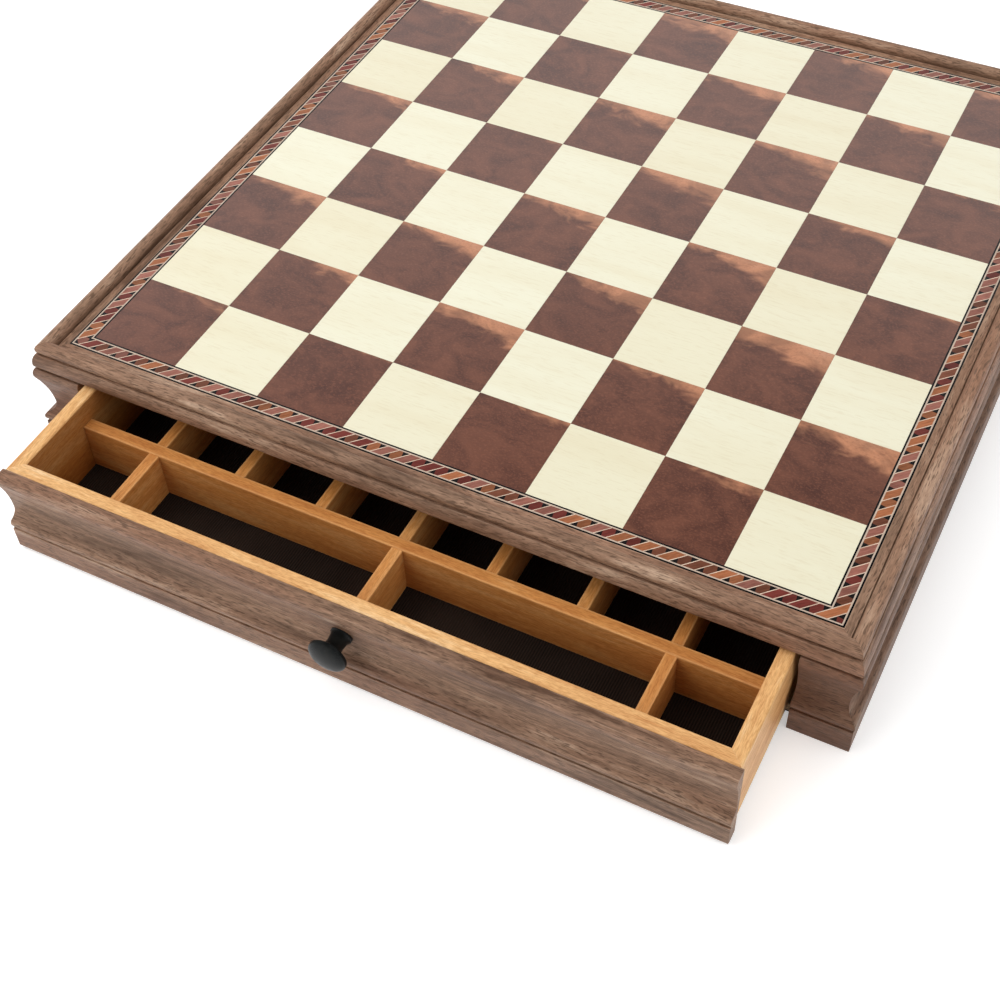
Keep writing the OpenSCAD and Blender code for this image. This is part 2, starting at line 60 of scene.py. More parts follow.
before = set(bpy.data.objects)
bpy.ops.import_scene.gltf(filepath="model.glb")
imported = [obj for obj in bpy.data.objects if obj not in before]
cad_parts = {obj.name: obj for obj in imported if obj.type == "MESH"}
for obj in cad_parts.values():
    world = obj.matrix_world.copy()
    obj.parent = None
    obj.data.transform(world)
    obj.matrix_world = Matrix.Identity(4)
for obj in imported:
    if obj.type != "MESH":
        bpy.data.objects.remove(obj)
CAD_BOX = [list(corner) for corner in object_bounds()]

MM = 0.001
SEED = 27
DRAWERS = ("front_drawer", "back_drawer")

# Angles in degrees: of the bead above the plinth, below its nose; of the rails' lower bead, either side of its
# nose; and the least turn of an edge that is shaded as sharp
BEAD_SPAN, LOWER_BEAD_SPAN, SHARP_EDGE = 50, 52, 50
# Steps of a quarter turn at a rim, of a short arc and of a longer one
RIM_STEPS, SHORT_STEPS, LONG_STEPS = 8, 12, 18
# Most that one board's figure is shifted from the next board's, in millimetres each way
FIGURE_SHIFT = 400
# Most of a side that a corner's rounding takes, and the point beyond it
ROUNDED_SHARE, BEYOND_SHARE = 0.3, 0.45
# Least divisor where two sides meet in a point, so that the inset stays short
POINTED = 0.3
# How far the two rings that shut a stopped rebate lie beyond its end, in millimetres
STOP_RINGS = (0.05, 0.2)
# How far beyond a rebate a point still counts as the rebate's, in millimetres, and the share of its depth that a
# shut rebate keeps
REBATE_ROOM, SHUT_SHARE = (0.5, 0.2), 0.004
# How near two points count as touching, and how near to a turning axis a point counts as on it, in millimetres
TOUCH, ON_AXIS = 0.05, 1e-6
# Rounding of the top edges of a square, of an inlaid strip or tile and of the baize, in millimetres
SQUARE_EDGE, INLAY_EDGE, BAIZE_EDGE = 0.05, 0.03, 0.12
# Height of each of the two waves of a laid cloth and the room that they leave to what it lies on, in millimetres
RIPPLE, RIPPLE_ROOM = 0.02, 0.005
# The floor: its rings' distances from the middle and where its lift starts and stops growing, in metres, and how
# many sides it has
FLOOR_RINGS, FLOOR_FADE, FLOOR_SIDES = (0.2, 0.6, 1.5, 4.0, 12.0), (0.5, 2.5), 48
# Heights in the world, 0 being the horizon and 1 straight overhead, between which the backdrop's white fades
WORLD_FADE = (0.57, 0.80)
# Nearest and furthest that the camera sees, in metres
CLIP = (0.01, 50.0)


# ---- sizes and colours that a maker would change ----


def length(name, description, default):
    """A length in metres, with its default given in millimetres."""
    return FloatProperty(
        name=name, description=description, default=default * MM, min=0.0, precision=5,
        unit="LENGTH", subtype="DISTANCE",
    )


def share(name, description, default):
    """A number from 0 to 1."""
    return FloatProperty(
        name=name, description=description, default=default, min=0.0, max=1.0, subtype="FACTOR"
    )


def colour(name, description, default):
    """A colour in linear light."""
    return FloatVectorProperty(
        name=name, description=description, default=default, min=0.0, max=1.0, subtype="COLOR"
    )


def position(name, description, default):
    """A point in metres."""
    return FloatVectorProperty(name=name, description=description, default=default, subtype="TRANSLATION")


def watts(name, description, default):
    """The power of a lamp in watts."""
    return FloatProperty(name=name, description=description, default=default, min=0.0, unit="POWER")


class ChessboxCase(PropertyGroup):
    """Walls, posts and their moulding."""

    plinth_face: length("Plinth face", "Distance of the plinth's face from the centre", 181.3)
    wall_in: length("Wall's inner face", "Distance of the walls' inner face from the centre", 168.0)
    wall_top: length("Wall height", "Height of the walls' top above the table", 43.0)
    opening_half: length("Opening", "Half width of a drawer opening", 157.0)
    plinth_h: length("Plinth height", "Height of the plinth", 12.3)
    bead_r: length("Bead radius", "Radius of the bead above the plinth", 2.2)
    bead_proud: length("Bead stands proud", "How far the bead stands proud of the plinth", 0.2)
    bead_quirk: length("Bead quirk", "Depth and height of the quirk under the bead", 0.7)
    cove_inset: length("Cove depth", "Depth of the cove behind the plinth's face", 4.4)
    cove_z: length("Cove height", "Height of the cove's deepest line", 21.5)
    roll_inset: length("Roll inset", "How far the roll at the top stands back from the plinth", 0.6)
    roll_r: length("Roll radius", "Radius of the roll at the walls' top", 5.0)
    roll_drop: length("Roll drop", "Height of the roll's centre below the walls' top", 3.0)
    rebate_w: length("Rebate width", "Width of the rebate for the bottom panel", 4.0)
    rebate_h: length("Rebate height", "Height of the rebate for the bottom panel", 5.0)
    arris: length("Arris rounding", "Rounding of the sharp edges", 0.3)
    baize_t: length("Baize", "Thickness of the baize under the case", 1.0)


class ChessboxRails(PropertyGroup):
    """Rails that frame the playing board."""

    board_top: length("Board height", "Height of the playing surface above the table", 52.0)
    inlay_half: length("Inlay half width", "Half width of the inlaid board inside the rails", 167.7)
    crest_r: length("Roll radius", "Radius of the raised roll along a rail's outer edge", 3.0)
    crest_rise: length("Roll height", "Height of the roll's centre line above the playing surface", 0.8)
    crest_inset: length("Roll inset", "How far the roll's nose stands back from the plinth", 3.4)
    crest_quirk_w: length("Inner quirk width", "Width of the quirk between a rail's flat and its roll", 0.6)
    crest_quirk_d: length("Inner quirk depth", "Depth of that quirk below the playing surface", 0.8)
    quirk_drop: length("Quirk drop", "Drop of the quirk under the roll, from the playing surface", 1.5)
    quirk_h: length("Quirk height", "Height of that quirk", 0.5)
    quirk_inset: length("Quirk inset", "How far that quirk stands back from the plinth", 4.6)
    bead_inset: length("Lower bead inset", "How far the lower bead stands back from the plinth", 1.5)
    bead_r: length("Lower bead swell", "How far the lower bead swells out", 4.2)
    bead_rise: length("Lower bead height", "Height of that bead's nose above the walls' top", 2.4)
    arris: length("Rail's arris", "Rounding of a rail's edges", 0.25)
    mitre_arris: length("Mitre's arris", "Rounding along a mitre", 0.12)


class ChessboxBoard(PropertyGroup):
    """Veneered squares and the inlaid border."""

    square_w: length("Square", "Side of one playing square", 40.0)
    squares: IntProperty(name="Squares", description="Squares along one side of the board", default=8, min=2)
    veneer_t: length("Veneer thickness", "Thickness of the veneers and of the border inlay", 0.8)
    joint: length("Veneer joint", "Hairline joint between two veneers", 0.05)
    black_w: length("Black line", "Width of each black stringing line", 0.7)
    pale_w: length("Pale line", "Width of each pale stringing line", 0.6)
    rope_w: length("Rope banding", "Width of the rope banding", 5.1)
    rope_line_w: length("Rope's pale line", "Width of the slanting pale lines, measured along the band", 0.5)
    rope_pairs: IntProperty(
        name="Rope repeats", description="Pairs of slanting tiles along one side", default=32, min=4
    )
    notch_w: share("Black tile width", "Share of a slanting tile that its black corner takes", 0.62)
    notch_h: share("Black tile height", "Share of the band's width that a black corner takes", 0.48)


class ChessboxDrawers(PropertyGroup):
    """Drawer fronts, boxes, dividers and linings."""

    pull: length("Front drawer drawn out", "How far the front drawer is drawn out as the box stands", 55.0)
    facing_half: length("Facing", "Half width of a drawer facing", 156.0)
    facing_low: length("Facing's lower edge", "Height of the facing's lower edge", 1.0)
    facing_chamfer: length("Facing chamfer", "Chamfer along the facing's lower edge", 1.0)
    facing_t: length("Facing thickness", "Thickness of the facing at its plinth", 6.5)
    box_half: length("Drawer box", "Half width of the drawer box", 155.0)
    box_back: length("Drawer box back", "Distance of a shut drawer's back from the centre", 4.5)
    box_z: length("Drawer box foot", "Height of the drawer box's lower edge", 5.3)
    rim_z: length("Drawer rim", "Height of the drawer's rim", 42.6)
    rim_r: length("Rim rounding", "Rounding of the drawer's rim", 0.8)
    side_t: length("Side thickness", "Thickness of the drawer's sides", 6.0)
    groove_w: length("Bottom groove depth", "Depth of the grooves that hold the bottom", 2.5)
    bottom_rise: length("Bottom rise", "Height of the bottom above the sides' lower edge", 1.0)
    bottom_t: length("Bottom thickness", "Thickness of the drawer's bottom", 2.5)
    lining_t: length("Lining thickness", "Thickness of the cloth lining", 0.5)
    fit: length("Fitting gap", "Gap round linings and dividers", 0.1)
    trough_w: length("Trough", "Width of the trough behind the inner front", 33.0)
    long_t: length("Long divider", "Thickness of the long divider", 5.5)
    long_top: length("Long divider height", "Height of the long divider's top", 32.0)
    cross_t: length("Cross dividers", "Thickness of the cross dividers", 4.8)
    cross_top: length("Cross divider height", "Height of the cross dividers' tops", 31.6)
    cells: IntProperty(name="Cells", description="Cells in the row behind the long divider", default=8, min=2)
    through_step: IntProperty(
        name="Through dividers", description="Every this many cross dividers, one crosses the trough too",
        default=3, min=1,
    )
    shut_gap: length("Shut gap", "Gap between a shut drawer and what stops it", 0.5)
    board_arris: length("Box arris", "Rounding of the edges of the drawer box", 0.25)
    mitre_arris: length("Box mitre's arris", "Rounding along a mitre of the drawer box", 0.12)
    divider_arris: length("Divider arris", "Rounding of the dividers' edges", 0.4)


class ChessboxKnob(PropertyGroup):
    """Turned knob."""

    rim_d: length("Knob rim", "Diameter of the knob's rim", 15.8)
    knob_l: length("Knob length", "Length of the knob, from its seat to its rim", 11.5)
    dome: length("Knob dome", "Height of the domed face above the rim", 2.6)
    neck_d: length("Knob neck", "Diameter of the knob's neck", 7.0)
    foot_d: length("Knob foot", "Diameter of the knob's foot", 9.0)
    foot_t: length("Knob foot thickness", "Thickness of the knob's foot", 1.6)
    rim_t: length("Knob rim thickness", "Thickness of the knob's rim", 1.0)
    knob_z: length("Knob height", "Height of the knob's axis above the table", 28.0)
    arris: length("Knob's arris", "Rounding of the knob's edges", 0.35)


class ChessboxFinish(PropertyGroup):
    """Colours of the woods, the cloths, the knobs and the screws, and how worn the edges are."""

    walnut_dark: colour("Walnut streaks", "Darkest streaks of the walnut", (0.078, 0.040, 0.022))
    walnut: colour("Walnut", "Middle colour of the walnut", (0.24, 0.142, 0.090))
    walnut_light: colour("Walnut light", "Palest streaks of the walnut", (0.43, 0.30, 0.21))
    boxwood_dark: colour("Boxwood figure", "Darker figure of the drawers' wood", (0.56, 0.245, 0.080))
    boxwood: colour("Boxwood", "Middle colour of the drawers' wood", (0.79, 0.465, 0.195))
    boxwood_light: colour("Boxwood light", "Palest figure of the drawers' wood", (0.91, 0.69, 0.43))
    maple_dark: colour("Maple flecks", "Flecks of the light squares", (0.79, 0.715, 0.50))
    maple: colour("Maple", "Middle colour of the light squares", (0.87, 0.85, 0.67))
    burl_dark: colour("Burl dark", "Darkest parts of the dark squares", (0.075, 0.024, 0.015))
    burl: colour("Burl", "Middle colour of the dark squares", (0.170, 0.060, 0.034))
    sapwood: colour("Sapwood", "Sapwood patches of the dark squares", (0.50, 0.215, 0.110))
    pale_line: colour("Pale line", "Pale stringing lines", (0.60, 0.47, 0.37))
    black_line: colour("Black line", "Black stringing lines", (0.010, 0.009, 0.009))
    rope_pink: colour("Rope pink", "Pink wood of the rope banding", (0.31, 0.125, 0.095))
    rope_brown: colour("Rope brown", "Brown wood of the rope banding", (0.20, 0.070, 0.040))
    rope_orange: colour("Rope orange", "Orange wood of the rope banding", (0.37, 0.135, 0.060))
    rope_crimson: colour("Rope crimson", "Crimson wood of the rope banding", (0.19, 0.040, 0.032))
    rope_black: colour("Rope black", "Black tiles of the rope banding", (0.011, 0.009, 0.009))
    cloth: colour("Cloth", "Lining in the drawers", (0.013, 0.0075, 0.005))
    baize: colour("Baize", "Baize under the case", (0.012, 0.012, 0.013))
    knob_dark: colour("Knob dark", "Deepest black of the knobs", (0.004, 0.005, 0.005))
    knob: colour("Knob", "Handled black of the knobs", (0.012, 0.012, 0.011))
    plywood_dark: colour("Plywood figure", "Darker figure of the plywood", (0.42, 0.27, 0.13))
    plywood: colour("Plywood", "Middle colour of the plywood", (0.58, 0.41, 0.22))
    plywood_light: colour("Plywood light", "Palest figure of the plywood", (0.68, 0.52, 0.31))
    steel_dark: colour("Steel dull", "Duller clouds of the screws' plating", (0.46, 0.45, 0.43))
    steel: colour("Steel", "Brighter clouds of the screws' plating", (0.66, 0.65, 0.62))
    wear: share("Wear", "How much the sharp edges have lightened", 0.35)


class ChessboxStage(PropertyGroup):
    """Camera, lamps, floor and backdrop."""

    camera_place: position("Camera place", "Where the camera stands", (0.2199, -0.5016, 0.4974))
    camera_turn: FloatVectorProperty(
        name="Camera turn", description="How the camera is turned", size=4,
        default=(0.912793, 0.334365, 0.095871, 0.21405), subtype="QUATERNION",
    )
    camera_lens: FloatProperty(
        name="Lens", description="Focal length in millimetres", default=56.4, unit="CAMERA"
    )
    camera_sensor: FloatProperty(
        name="Sensor", description="Width of the camera's sensor in millimetres", default=36.0, unit="CAMERA"
    )
    daylight: FloatProperty(
        name="Daylight", description="Strength of the even light all round", default=0.27, min=0.0
    )
    key_place: position("Key lamp's place", "Where the lamp high on the left stands", (-0.5, 0.1, 1.6))
    key_size: length("Key lamp's size", "Diameter of the lamp high on the left", 2400)
    key_power: watts("Key lamp", "Power of the lamp high on the left", 22.5)
    fill_place: position("Fill lamp's place", "Where the lamp at the front left stands", (-0.9, -1.2, 0.8))
    fill_size: length("Fill lamp's size", "Diameter of the lamp at the front left", 1600)
    fill_power: watts("Fill lamp", "Power of the lamp at the front left", 13.0)
    side_place: position("Side lamp's place", "Where the lamp on the right stands", (1.6, -0.1, 0.9))
    side_size: length("Side lamp's size", "Diameter of the lamp on the right", 1800)
    side_power: watts("Side lamp", "Power of the lamp on the right", 12.5)
    floor_tone: share("Floor", "How pale the floor is", 0.9)
    floor_lift: share("Floor lift", "White added to the near floor where it is only seen", 0.40)
    floor_lift_far: share("Far floor lift", "White added to the far floor where it is only seen", 0.8)
    overhead: share("Overhead", "Strength of the white overhead, as only reflections see it", 0.15)


PARTS = {
    "chessbox_case": ChessboxCase,
    "chessbox_rails": ChessboxRails,
    "chessbox_board": ChessboxBoard,
    "chessbox_drawers": ChessboxDrawers,
    "chessbox_knob": ChessboxKnob,
    "chessbox_finish": ChessboxFinish,
    "chessbox_stage": ChessboxStage,
}


def in_mm(part):
    """The sizes of one part, with every length in millimetres and every count and share as it is."""
    group = getattr(bpy.context.scene, part)
    sizes = SimpleNamespace()
    for key in PARTS[part].__annotations__:
        is_length = group.bl_rna.properties[key].unit == "LENGTH"
        setattr(sizes, key, getattr(group, key) / MM if is_length else getattr(group, key))
    return sizes


def settings(part):
    """The property group of one part."""
    return getattr(bpy.context.scene, part)


# ---- outlines: rows of (x, z), x being the distance from the box's centre ----


def arc(cx, cz, rx, rz, start, end, steps=20):
    """Points on an ellipse about (cx, cz): centre plus radii times cosine and sine of evenly spaced angles."""
    angle = np.radians(np.linspace(start, end, steps + 1))
    return np.column_stack((cx + rx * np.cos(angle), cz + rz * np.sin(angle)))


def hollow_r(depth, rise, radius):
    """Radius of a hollow that swings out by depth over a rise, and there meets a round of the given radius.

    It is depth squared plus rise squared, over twice the depth, less the radius.
    """
    return (depth**2 + rise**2) / (2 * depth) - radius


def wall_edge():
    """Outer edge of the wall moulding from the table up: plinth, quirk, bead, cove and roll, in tangent arcs."""
    c = in_mm("chessbox_case")
    bead_x, bead_z = c.plinth_face + c.bead_proud - c.bead_r, c.plinth_h + c.bead_quirk + c.bead_r
    cove_x, foot_rise = c.plinth_face - c.cove_inset, c.cove_z - bead_z
    foot_r = hollow_r(c.cove_inset + c.bead_proud, foot_rise, c.bead_r)
    foot_meet = np.degrees(np.arcsin(foot_rise / (foot_r + c.bead_r)))
    roll_x, roll_z = c.plinth_face - c.roll_inset - c.roll_r, c.wall_top - c.roll_drop
    cove_r = hollow_r(c.cove_inset - c.roll_inset, roll_z - c.cove_z, c.roll_r)
    meet = np.degrees(np.arcsin((roll_z - c.cove_z) / (cove_r + c.roll_r)))
    roll_end = np.degrees(np.arcsin(c.roll_drop / c.roll_r))
    quirk_x = c.plinth_face - c.bead_quirk
    return np.vstack((
        [[c.plinth_face, 0], [c.plinth_face, c.plinth_h]],
        [[quirk_x, c.plinth_h], [quirk_x, c.plinth_h + c.bead_quirk]],
        arc(bead_x, bead_z, c.bead_r, c.bead_r, -BEAD_SPAN, foot_meet, LONG_STEPS),
        arc(cove_x + foot_r, c.cove_z, foot_r, foot_r, 180 + foot_meet, 180, SHORT_STEPS)[1:],
        arc(cove_x + cove_r, c.cove_z, cove_r, cove_r, 180, 180 - meet)[1:],
        arc(roll_x, roll_z, c.roll_r, c.roll_r, -meet, roll_end, LONG_STEPS)[1:],
    ))


def wall_outline():
    """Section of a wall: its moulded edge, its top, its inner face and the rebate for the bottom panel."""
    c = in_mm("chessbox_case")
    far = c.wall_in + c.rebate_w
    return np.vstack((
        wall_edge(),
        [[c.wall_in, c.wall_top], [c.wall_in, c.rebate_h], [far, c.rebate_h], [far, 0]],
    ))


def post_outline():
    """Section of a post: as a wall, without the rebate."""
    c = in_mm("chessbox_case")
    return np.vstack((wall_edge(), [[c.wall_in, c.wall_top], [c.wall_in, 0]]))


def facing_outline():
    """Section of a drawer facing: the wall moulding from a chamfered lower edge up to the drawer's rim."""
    c, d = in_mm("chessbox_case"), in_mm("chessbox_drawers")
    edge, back = wall_edge(), c.plinth_face - d.facing_t
    kept = edge[(edge[:, 1] > d.facing_low + d.facing_chamfer) & (edge[:, 1] < d.rim_z)]
    roll_x, roll_z = edge[-LONG_STEPS:].T
    at_rim = np.interp(d.rim_z, roll_z, roll_x)
    return np.vstack((
        [[back, d.facing_low], [c.plinth_face - d.facing_chamfer, d.facing_low]],
        [[c.plinth_face, d.facing_low + d.facing_chamfer]],
        kept,
        [[at_rim, d.rim_z], [back, d.rim_z]],
    ))


def rail_outline():
    """Section of a rail: a lower bead of two elliptical arcs, quirk, raised round roll, inner quirk and flat."""
    c, r = in_mm("chessbox_case"), in_mm("chessbox_rails")
    bead_x, bead_z = c.plinth_face - r.bead_inset - r.bead_r, c.wall_top + r.bead_rise
    swell = np.sin(np.radians(LOWER_BEAD_SPAN))
    lower, upper = r.bead_rise / swell, (r.board_top - r.quirk_drop - bead_z) / swell
    crest_x = c.plinth_face - r.crest_inset - r.crest_r
    quirk = crest_x - r.crest_r - r.crest_quirk_w * np.array([0, 1, 1])
    undercut = np.degrees(np.arcsin((r.crest_rise + r.quirk_drop - r.quirk_h) / r.crest_r))
    return np.vstack((
        [[r.inlay_half, c.wall_top]],
        arc(bead_x, bead_z, r.bead_r, lower, -LOWER_BEAD_SPAN, 0, SHORT_STEPS),
        arc(bead_x, bead_z, r.bead_r, upper, 0, LOWER_BEAD_SPAN, SHORT_STEPS)[1:],
        [[c.plinth_face - r.quirk_inset, r.board_top - r.quirk_drop]],
        arc(crest_x, r.board_top + r.crest_rise, r.crest_r, r.crest_r, -undercut, 180, 2 * LONG_STEPS),
        np.column_stack((quirk, r.board_top - r.crest_quirk_d * np.array([1, 1, 0]))),
        [[r.inlay_half, r.board_top]],
    ))


def board_outline():
    """Section of a drawer's side, x being the depth from its inner face: rounded rim, groove for the bottom."""
    d = in_mm("chessbox_drawers")
    height, top = d.rim_z - d.box_z, d.bottom_rise + d.bottom_t
    return np.vstack((
        [[0, 0], [d.side_t, 0]],
        arc(d.side_t - d.rim_r, height - d.rim_r, d.rim_r, d.rim_r, 0, 90, RIM_STEPS),
        arc(d.rim_r, height - d.rim_r, d.rim_r, d.rim_r, 90, 180, RIM_STEPS),
        [[0, top], [d.groove_w, top], [d.groove_w, d.bottom_rise], [0, d.bottom_rise]],
    ))


def block_outline(x0, x1, z0, z1):
    """Rectangle between two distances and two heights, taken round anticlockwise."""
    return np.array([[x0, z0], [x1, z0], [x1, z1], [x0, z1]], float)


def anticlockwise(outline):
    """The outline, turned round if its area by the shoelace sum is negative."""
    x, z = outline.T
    return outline if (x * np.roll(z, -1) - np.roll(x, -1) * z).sum() > 0 else outline[::-1]


def softened(outline, radius, band=0.7, steps=4, sharp=28.0):
    """Rounds the sharp corners of a closed outline.

    A corner that turns by more than sharp degrees is swapped for a short quadratic curve that leaves both sides at
    the same distance from the corner, with one more point at the band's distance beyond it on either side. Returns
    the points, and for each point 1 on a rounded edge, which the finishes lighten as wear, -1 in a rounded hollow,
    which they darken as painted shade, and 0 elsewhere.
    """
    p = anticlockwise(np.asarray(outline, float))
    back, on = np.roll(p, 1, 0) - p, np.roll(p, -1, 0) - p
    long_b, long_o = np.linalg.norm(back, axis=1), np.linalg.norm(on, axis=1)
    back, on = back / long_b[:, None], on / long_o[:, None]
    turn = np.arccos(np.clip(-(back * on).sum(1), -1, 1))
    hollow = on[:, 0] * back[:, 1] - on[:, 1] * back[:, 0] < 0
    is_sharp = turn > np.radians(sharp)
    reach = np.minimum(radius * np.tan(turn / 2), ROUNDED_SHARE * np.minimum(long_b, long_o))[:, None]
    far_b = np.minimum(reach[:, 0] + band, BEYOND_SHARE * long_b)[:, None]
    far_o = np.minimum(reach[:, 0] + band, BEYOND_SHARE * long_o)[:, None]
    t = np.linspace(0, 1, steps + 1)[None, :, None]
    start, end = (p + back * reach)[:, None], (p + on * reach)[:, None]
    curve = (1 - t) ** 2 * start + 2 * t * (1 - t) * p[:, None] + t**2 * end
    corners = np.concatenate(((p + back * far_b)[:, None], curve, (p + on * far_o)[:, None]), axis=1)
    worn = np.zeros(corners.shape[:2])
    worn[:, 1:-1] = np.where(hollow, -1.0, 1.0)[:, None]
    keep = np.repeat(is_sharp[:, None], corners.shape[1], axis=1)
    corners[~is_sharp, 0], worn[~is_sharp], keep[~is_sharp, 0] = p[~is_sharp], 0.0, True
    return corners[keep], worn[keep]


def inward(outline):
    """For each point of an anticlockwise outline, the step that moves both its sides inwards by one."""
    on = np.roll(outline, -1, 0) - outline
    normal = np.column_stack((-on[:, 1], on[:, 0])) / np.linalg.norm(on, axis=1)[:, None]
    before = np.roll(normal, 1, 0)
    return (before + normal) / np.maximum(1 + (before * normal).sum(1), POINTED)[:, None]


# ---- surfaces ----


def chance(name):
    """Random numbers that are the same on every run for one piece."""
    return np.random.default_rng([SEED, *name.encode()])


def figure_shift(rng, *count):
    """Shifts in x, y and z by which the figure of each board differs from the next one's, in millimetres."""
    return rng.uniform(-FIGURE_SHIFT, FIGURE_SHIFT, (*count, 3))


def put_attribute(mesh, name, kind, values):
    """Stores one value for each point under a name that the materials read."""
    slot = {"FLOAT": "value", "FLOAT_VECTOR": "vector", "FLOAT_COLOR": "color"}[kind]
    mesh.attributes.new(name, kind, "POINT").data.foreach_set(slot, np.asarray(values, np.float32).ravel())


def make_mesh(name, points, faces, grain, worn=None, finish=None, flat_faces=True):
    """Puts points in millimetres and the corners of faces into a new object at the origin, shaded smooth.

    grain gives each point its place in the wood's figure, also in millimetres, and worn its share of wear, or of
    painted shade where it is below 0. With flat_faces, large flat faces stay flat in the shading beside rounded
    edges.
    """
    mesh = bpy.data.meshes.new(name)
    mesh.from_pydata(np.asarray(points, float) * MM, [], faces)
    put_attribute(mesh, "grain", "FLOAT_VECTOR", np.asarray(grain, float) * MM)
    put_attribute(mesh, "worn", "FLOAT", np.zeros(len(points)) if worn is None else worn)
    mesh.shade_smooth()
    mesh.set_sharp_from_angle(angle=np.radians(SHARP_EDGE))
    mesh.validate()
    piece = bpy.data.objects.new(name, mesh)
    bpy.context.scene.collection.objects.link(piece)
    if finish is not None:
        mesh.materials.append(finish)
    if flat_faces:
        weigh = piece.modifiers.new("Flat faces stay flat", "WEIGHTED_NORMAL")
        weigh.keep_sharp = True
    return piece


def grid_faces(rows, columns):
    """Four corners of each face between neighbouring rows of a grid that is closed along its columns."""
    first = np.arange(rows - 1)[:, None] * columns + np.arange(columns)[None, :]
    after = np.arange(rows - 1)[:, None] * columns + (np.arange(columns)[None, :] + 1) % columns
    return np.stack((first, first + columns, after + columns, after), axis=-1).reshape(-1, 4)


def turned_about(points, quarter_turns):
    """Points turned about the z axis by that many quarter turns, anticlockwise from above."""
    cos, sin = ((1, 0), (0, 1), (-1, 0), (0, -1))[quarter_turns % 4]
    x, y, z = points[..., 0], points[..., 1], points[..., 2]
    return np.stack((cos * x - sin * y, sin * x + cos * y, z), axis=-1)


def end_rings(outline, place, slope, into, radius):
    """Rings that close the end of a bar with a small rounding.

    The end lies in the plane y = place + slope * x. Over a quarter turn the outline grows from an inset of the
    radius to its full size while it moves into the bar by the radius.
    """
    angle = np.radians([0, 30, 60, 90])[:, None, None]
    rings = outline + radius * (1 - np.sin(angle)) * inward(outline)
    along = place + slope * rings[..., 0] + into * radius * (1 - np.cos(angle[..., 0]))
    return rings, along


def filling(outline):
    """Triangles that fill a closed outline, each taken round anticlockwise, as numbers of its points."""
    corners = np.array(tessellate_polygon([[Vector((x, z, 0.0)) for x, z in outline]]))
    first, second, third = (outline[corners[:, i]] for i in range(3))
    (ax, az), (bx, bz) = (second - first).T, (third - first).T
    turned_round = ax * bz - az * bx < 0
    corners[turned_round] = corners[turned_round][:, ::-1]
    return corners


def bar(
    name, outline, ends, slopes, finish, turns=0, shift=(0, 0, 0),
    edge=0.3, band=0.7, end_edge=0.2, stopped=None, dirt=None,
):
    """A section carried along y, between two end planes y = end + slope * x, then turned about z and shifted.

    Edges along the bar are rounded by edge, with a point at the band's distance beyond, and those at its ends by
    end_edge. stopped is a distance and a function: the function closes the section's rebate, which runs only to
    that distance either side of the middle, and never through a mitre. dirt is a function that gives each point of
    the section a share of old wax and painted shade, from 0 to 1. Grain runs along the bar.
    """
    section, worn = softened(outline, edge, band)
    # Points with a share of old wax and painted shade count as hollows, which the finishes darken.
    if dirt is not None:
        worn = np.where(dirt(section) > 0, -dirt(section), worn)
    closed = section if stopped is None else stopped[1](section)
    low, low_y = end_rings(closed, ends[0], slopes[0], 1, end_edge)
    high, high_y = end_rings(closed, ends[1], slopes[1], -1, end_edge)
    middle, middle_y = [], []
    for end, slope, way in ((ends[0], slopes[0], 1), (ends[1], slopes[1], -1)) if stopped else ():
        for inset, ring in tuple(zip(STOP_RINGS, (closed, section)))[::way]:
            mitre = way * (end + slope * section[:, 0]) + end_edge
            middle.append(ring)
            middle_y.append(way * (np.maximum(mitre, -stopped[0]) + inset))
    rings = np.concatenate((low, np.reshape(middle, (-1, *section.shape)), high[::-1]))
    along = np.concatenate((low_y, np.reshape(middle_y, (-1, len(section))), high_y[::-1]))
    # The second and third ring from either end lie on its rounding: they take wear all round, but the
    # hollows keep their painted shade.
    wear = np.repeat(worn[None], len(rings), 0)
    rounded = np.where(worn < 0, worn, np.maximum(worn, [[0], [1], [1]]))
    wear[:3], wear[-3:] = rounded, rounded[::-1]
    points = np.stack((rings[..., 0], along, rings[..., 1]), axis=-1)
    fill, count = filling(section), len(section)
    faces = grid_faces(len(points), count).tolist() + fill.tolist()
    faces += (fill[:, ::-1] + (len(points) - 1) * count).tolist()
    grain = points[..., [1, 0, 2]] + figure_shift(chance(name))
    placed = turned_about(points, turns) + np.asarray(shift, float)
    return make_mesh(name, placed.reshape(-1, 3), faces, grain.reshape(-1, 3), wear.ravel(), finish)


def prisms(name, plans, low, high, rounding, finish, grain_of, extras=()):
    """Upright prisms, each with a rounded top edge, in one mesh.

    The plan is repeated at four levels: in full at the foot and where the rounding starts, inset by three tenths of
    the rounding at three tenths of it below the top, and by all of it at the top. grain_of turns the points of plan
    number i into grain coordinates. extras are (name, kind, one value for each plan).
    """
    inset = rounding * np.array([0, 0, 0.3, 1.0])[:, None, None]
    level = np.array([low, high - rounding, high - 0.3 * rounding, high])[:, None, None]
    points, faces, grain, owner, count = [], [], [], [], 0
    for i, plan in enumerate(plans):
        plan = anticlockwise(np.asarray(plan, float))
        n = len(plan)
        ring = np.concatenate((plan + inset * inward(plan), np.broadcast_to(level, (4, n, 1))), -1)
        quads = grid_faces(4, n)[:, ::-1] + count
        foot, top = list(range(count, count + n))[::-1], list(range(count + 3 * n, count + 4 * n))
        faces += quads.tolist() + [foot, top]
        points.append(ring.reshape(-1, 3))
        grain.append(grain_of(i, points[-1]))
        owner.append(np.full(4 * n, i))
        count += 4 * n
    piece = make_mesh(name, np.concatenate(points), faces, np.concatenate(grain), None, finish)
    owner = np.concatenate(owner)
    for label, kind, values in extras:
        put_attribute(piece.data, label, kind, np.asarray(values, float)[owner])
    return piece


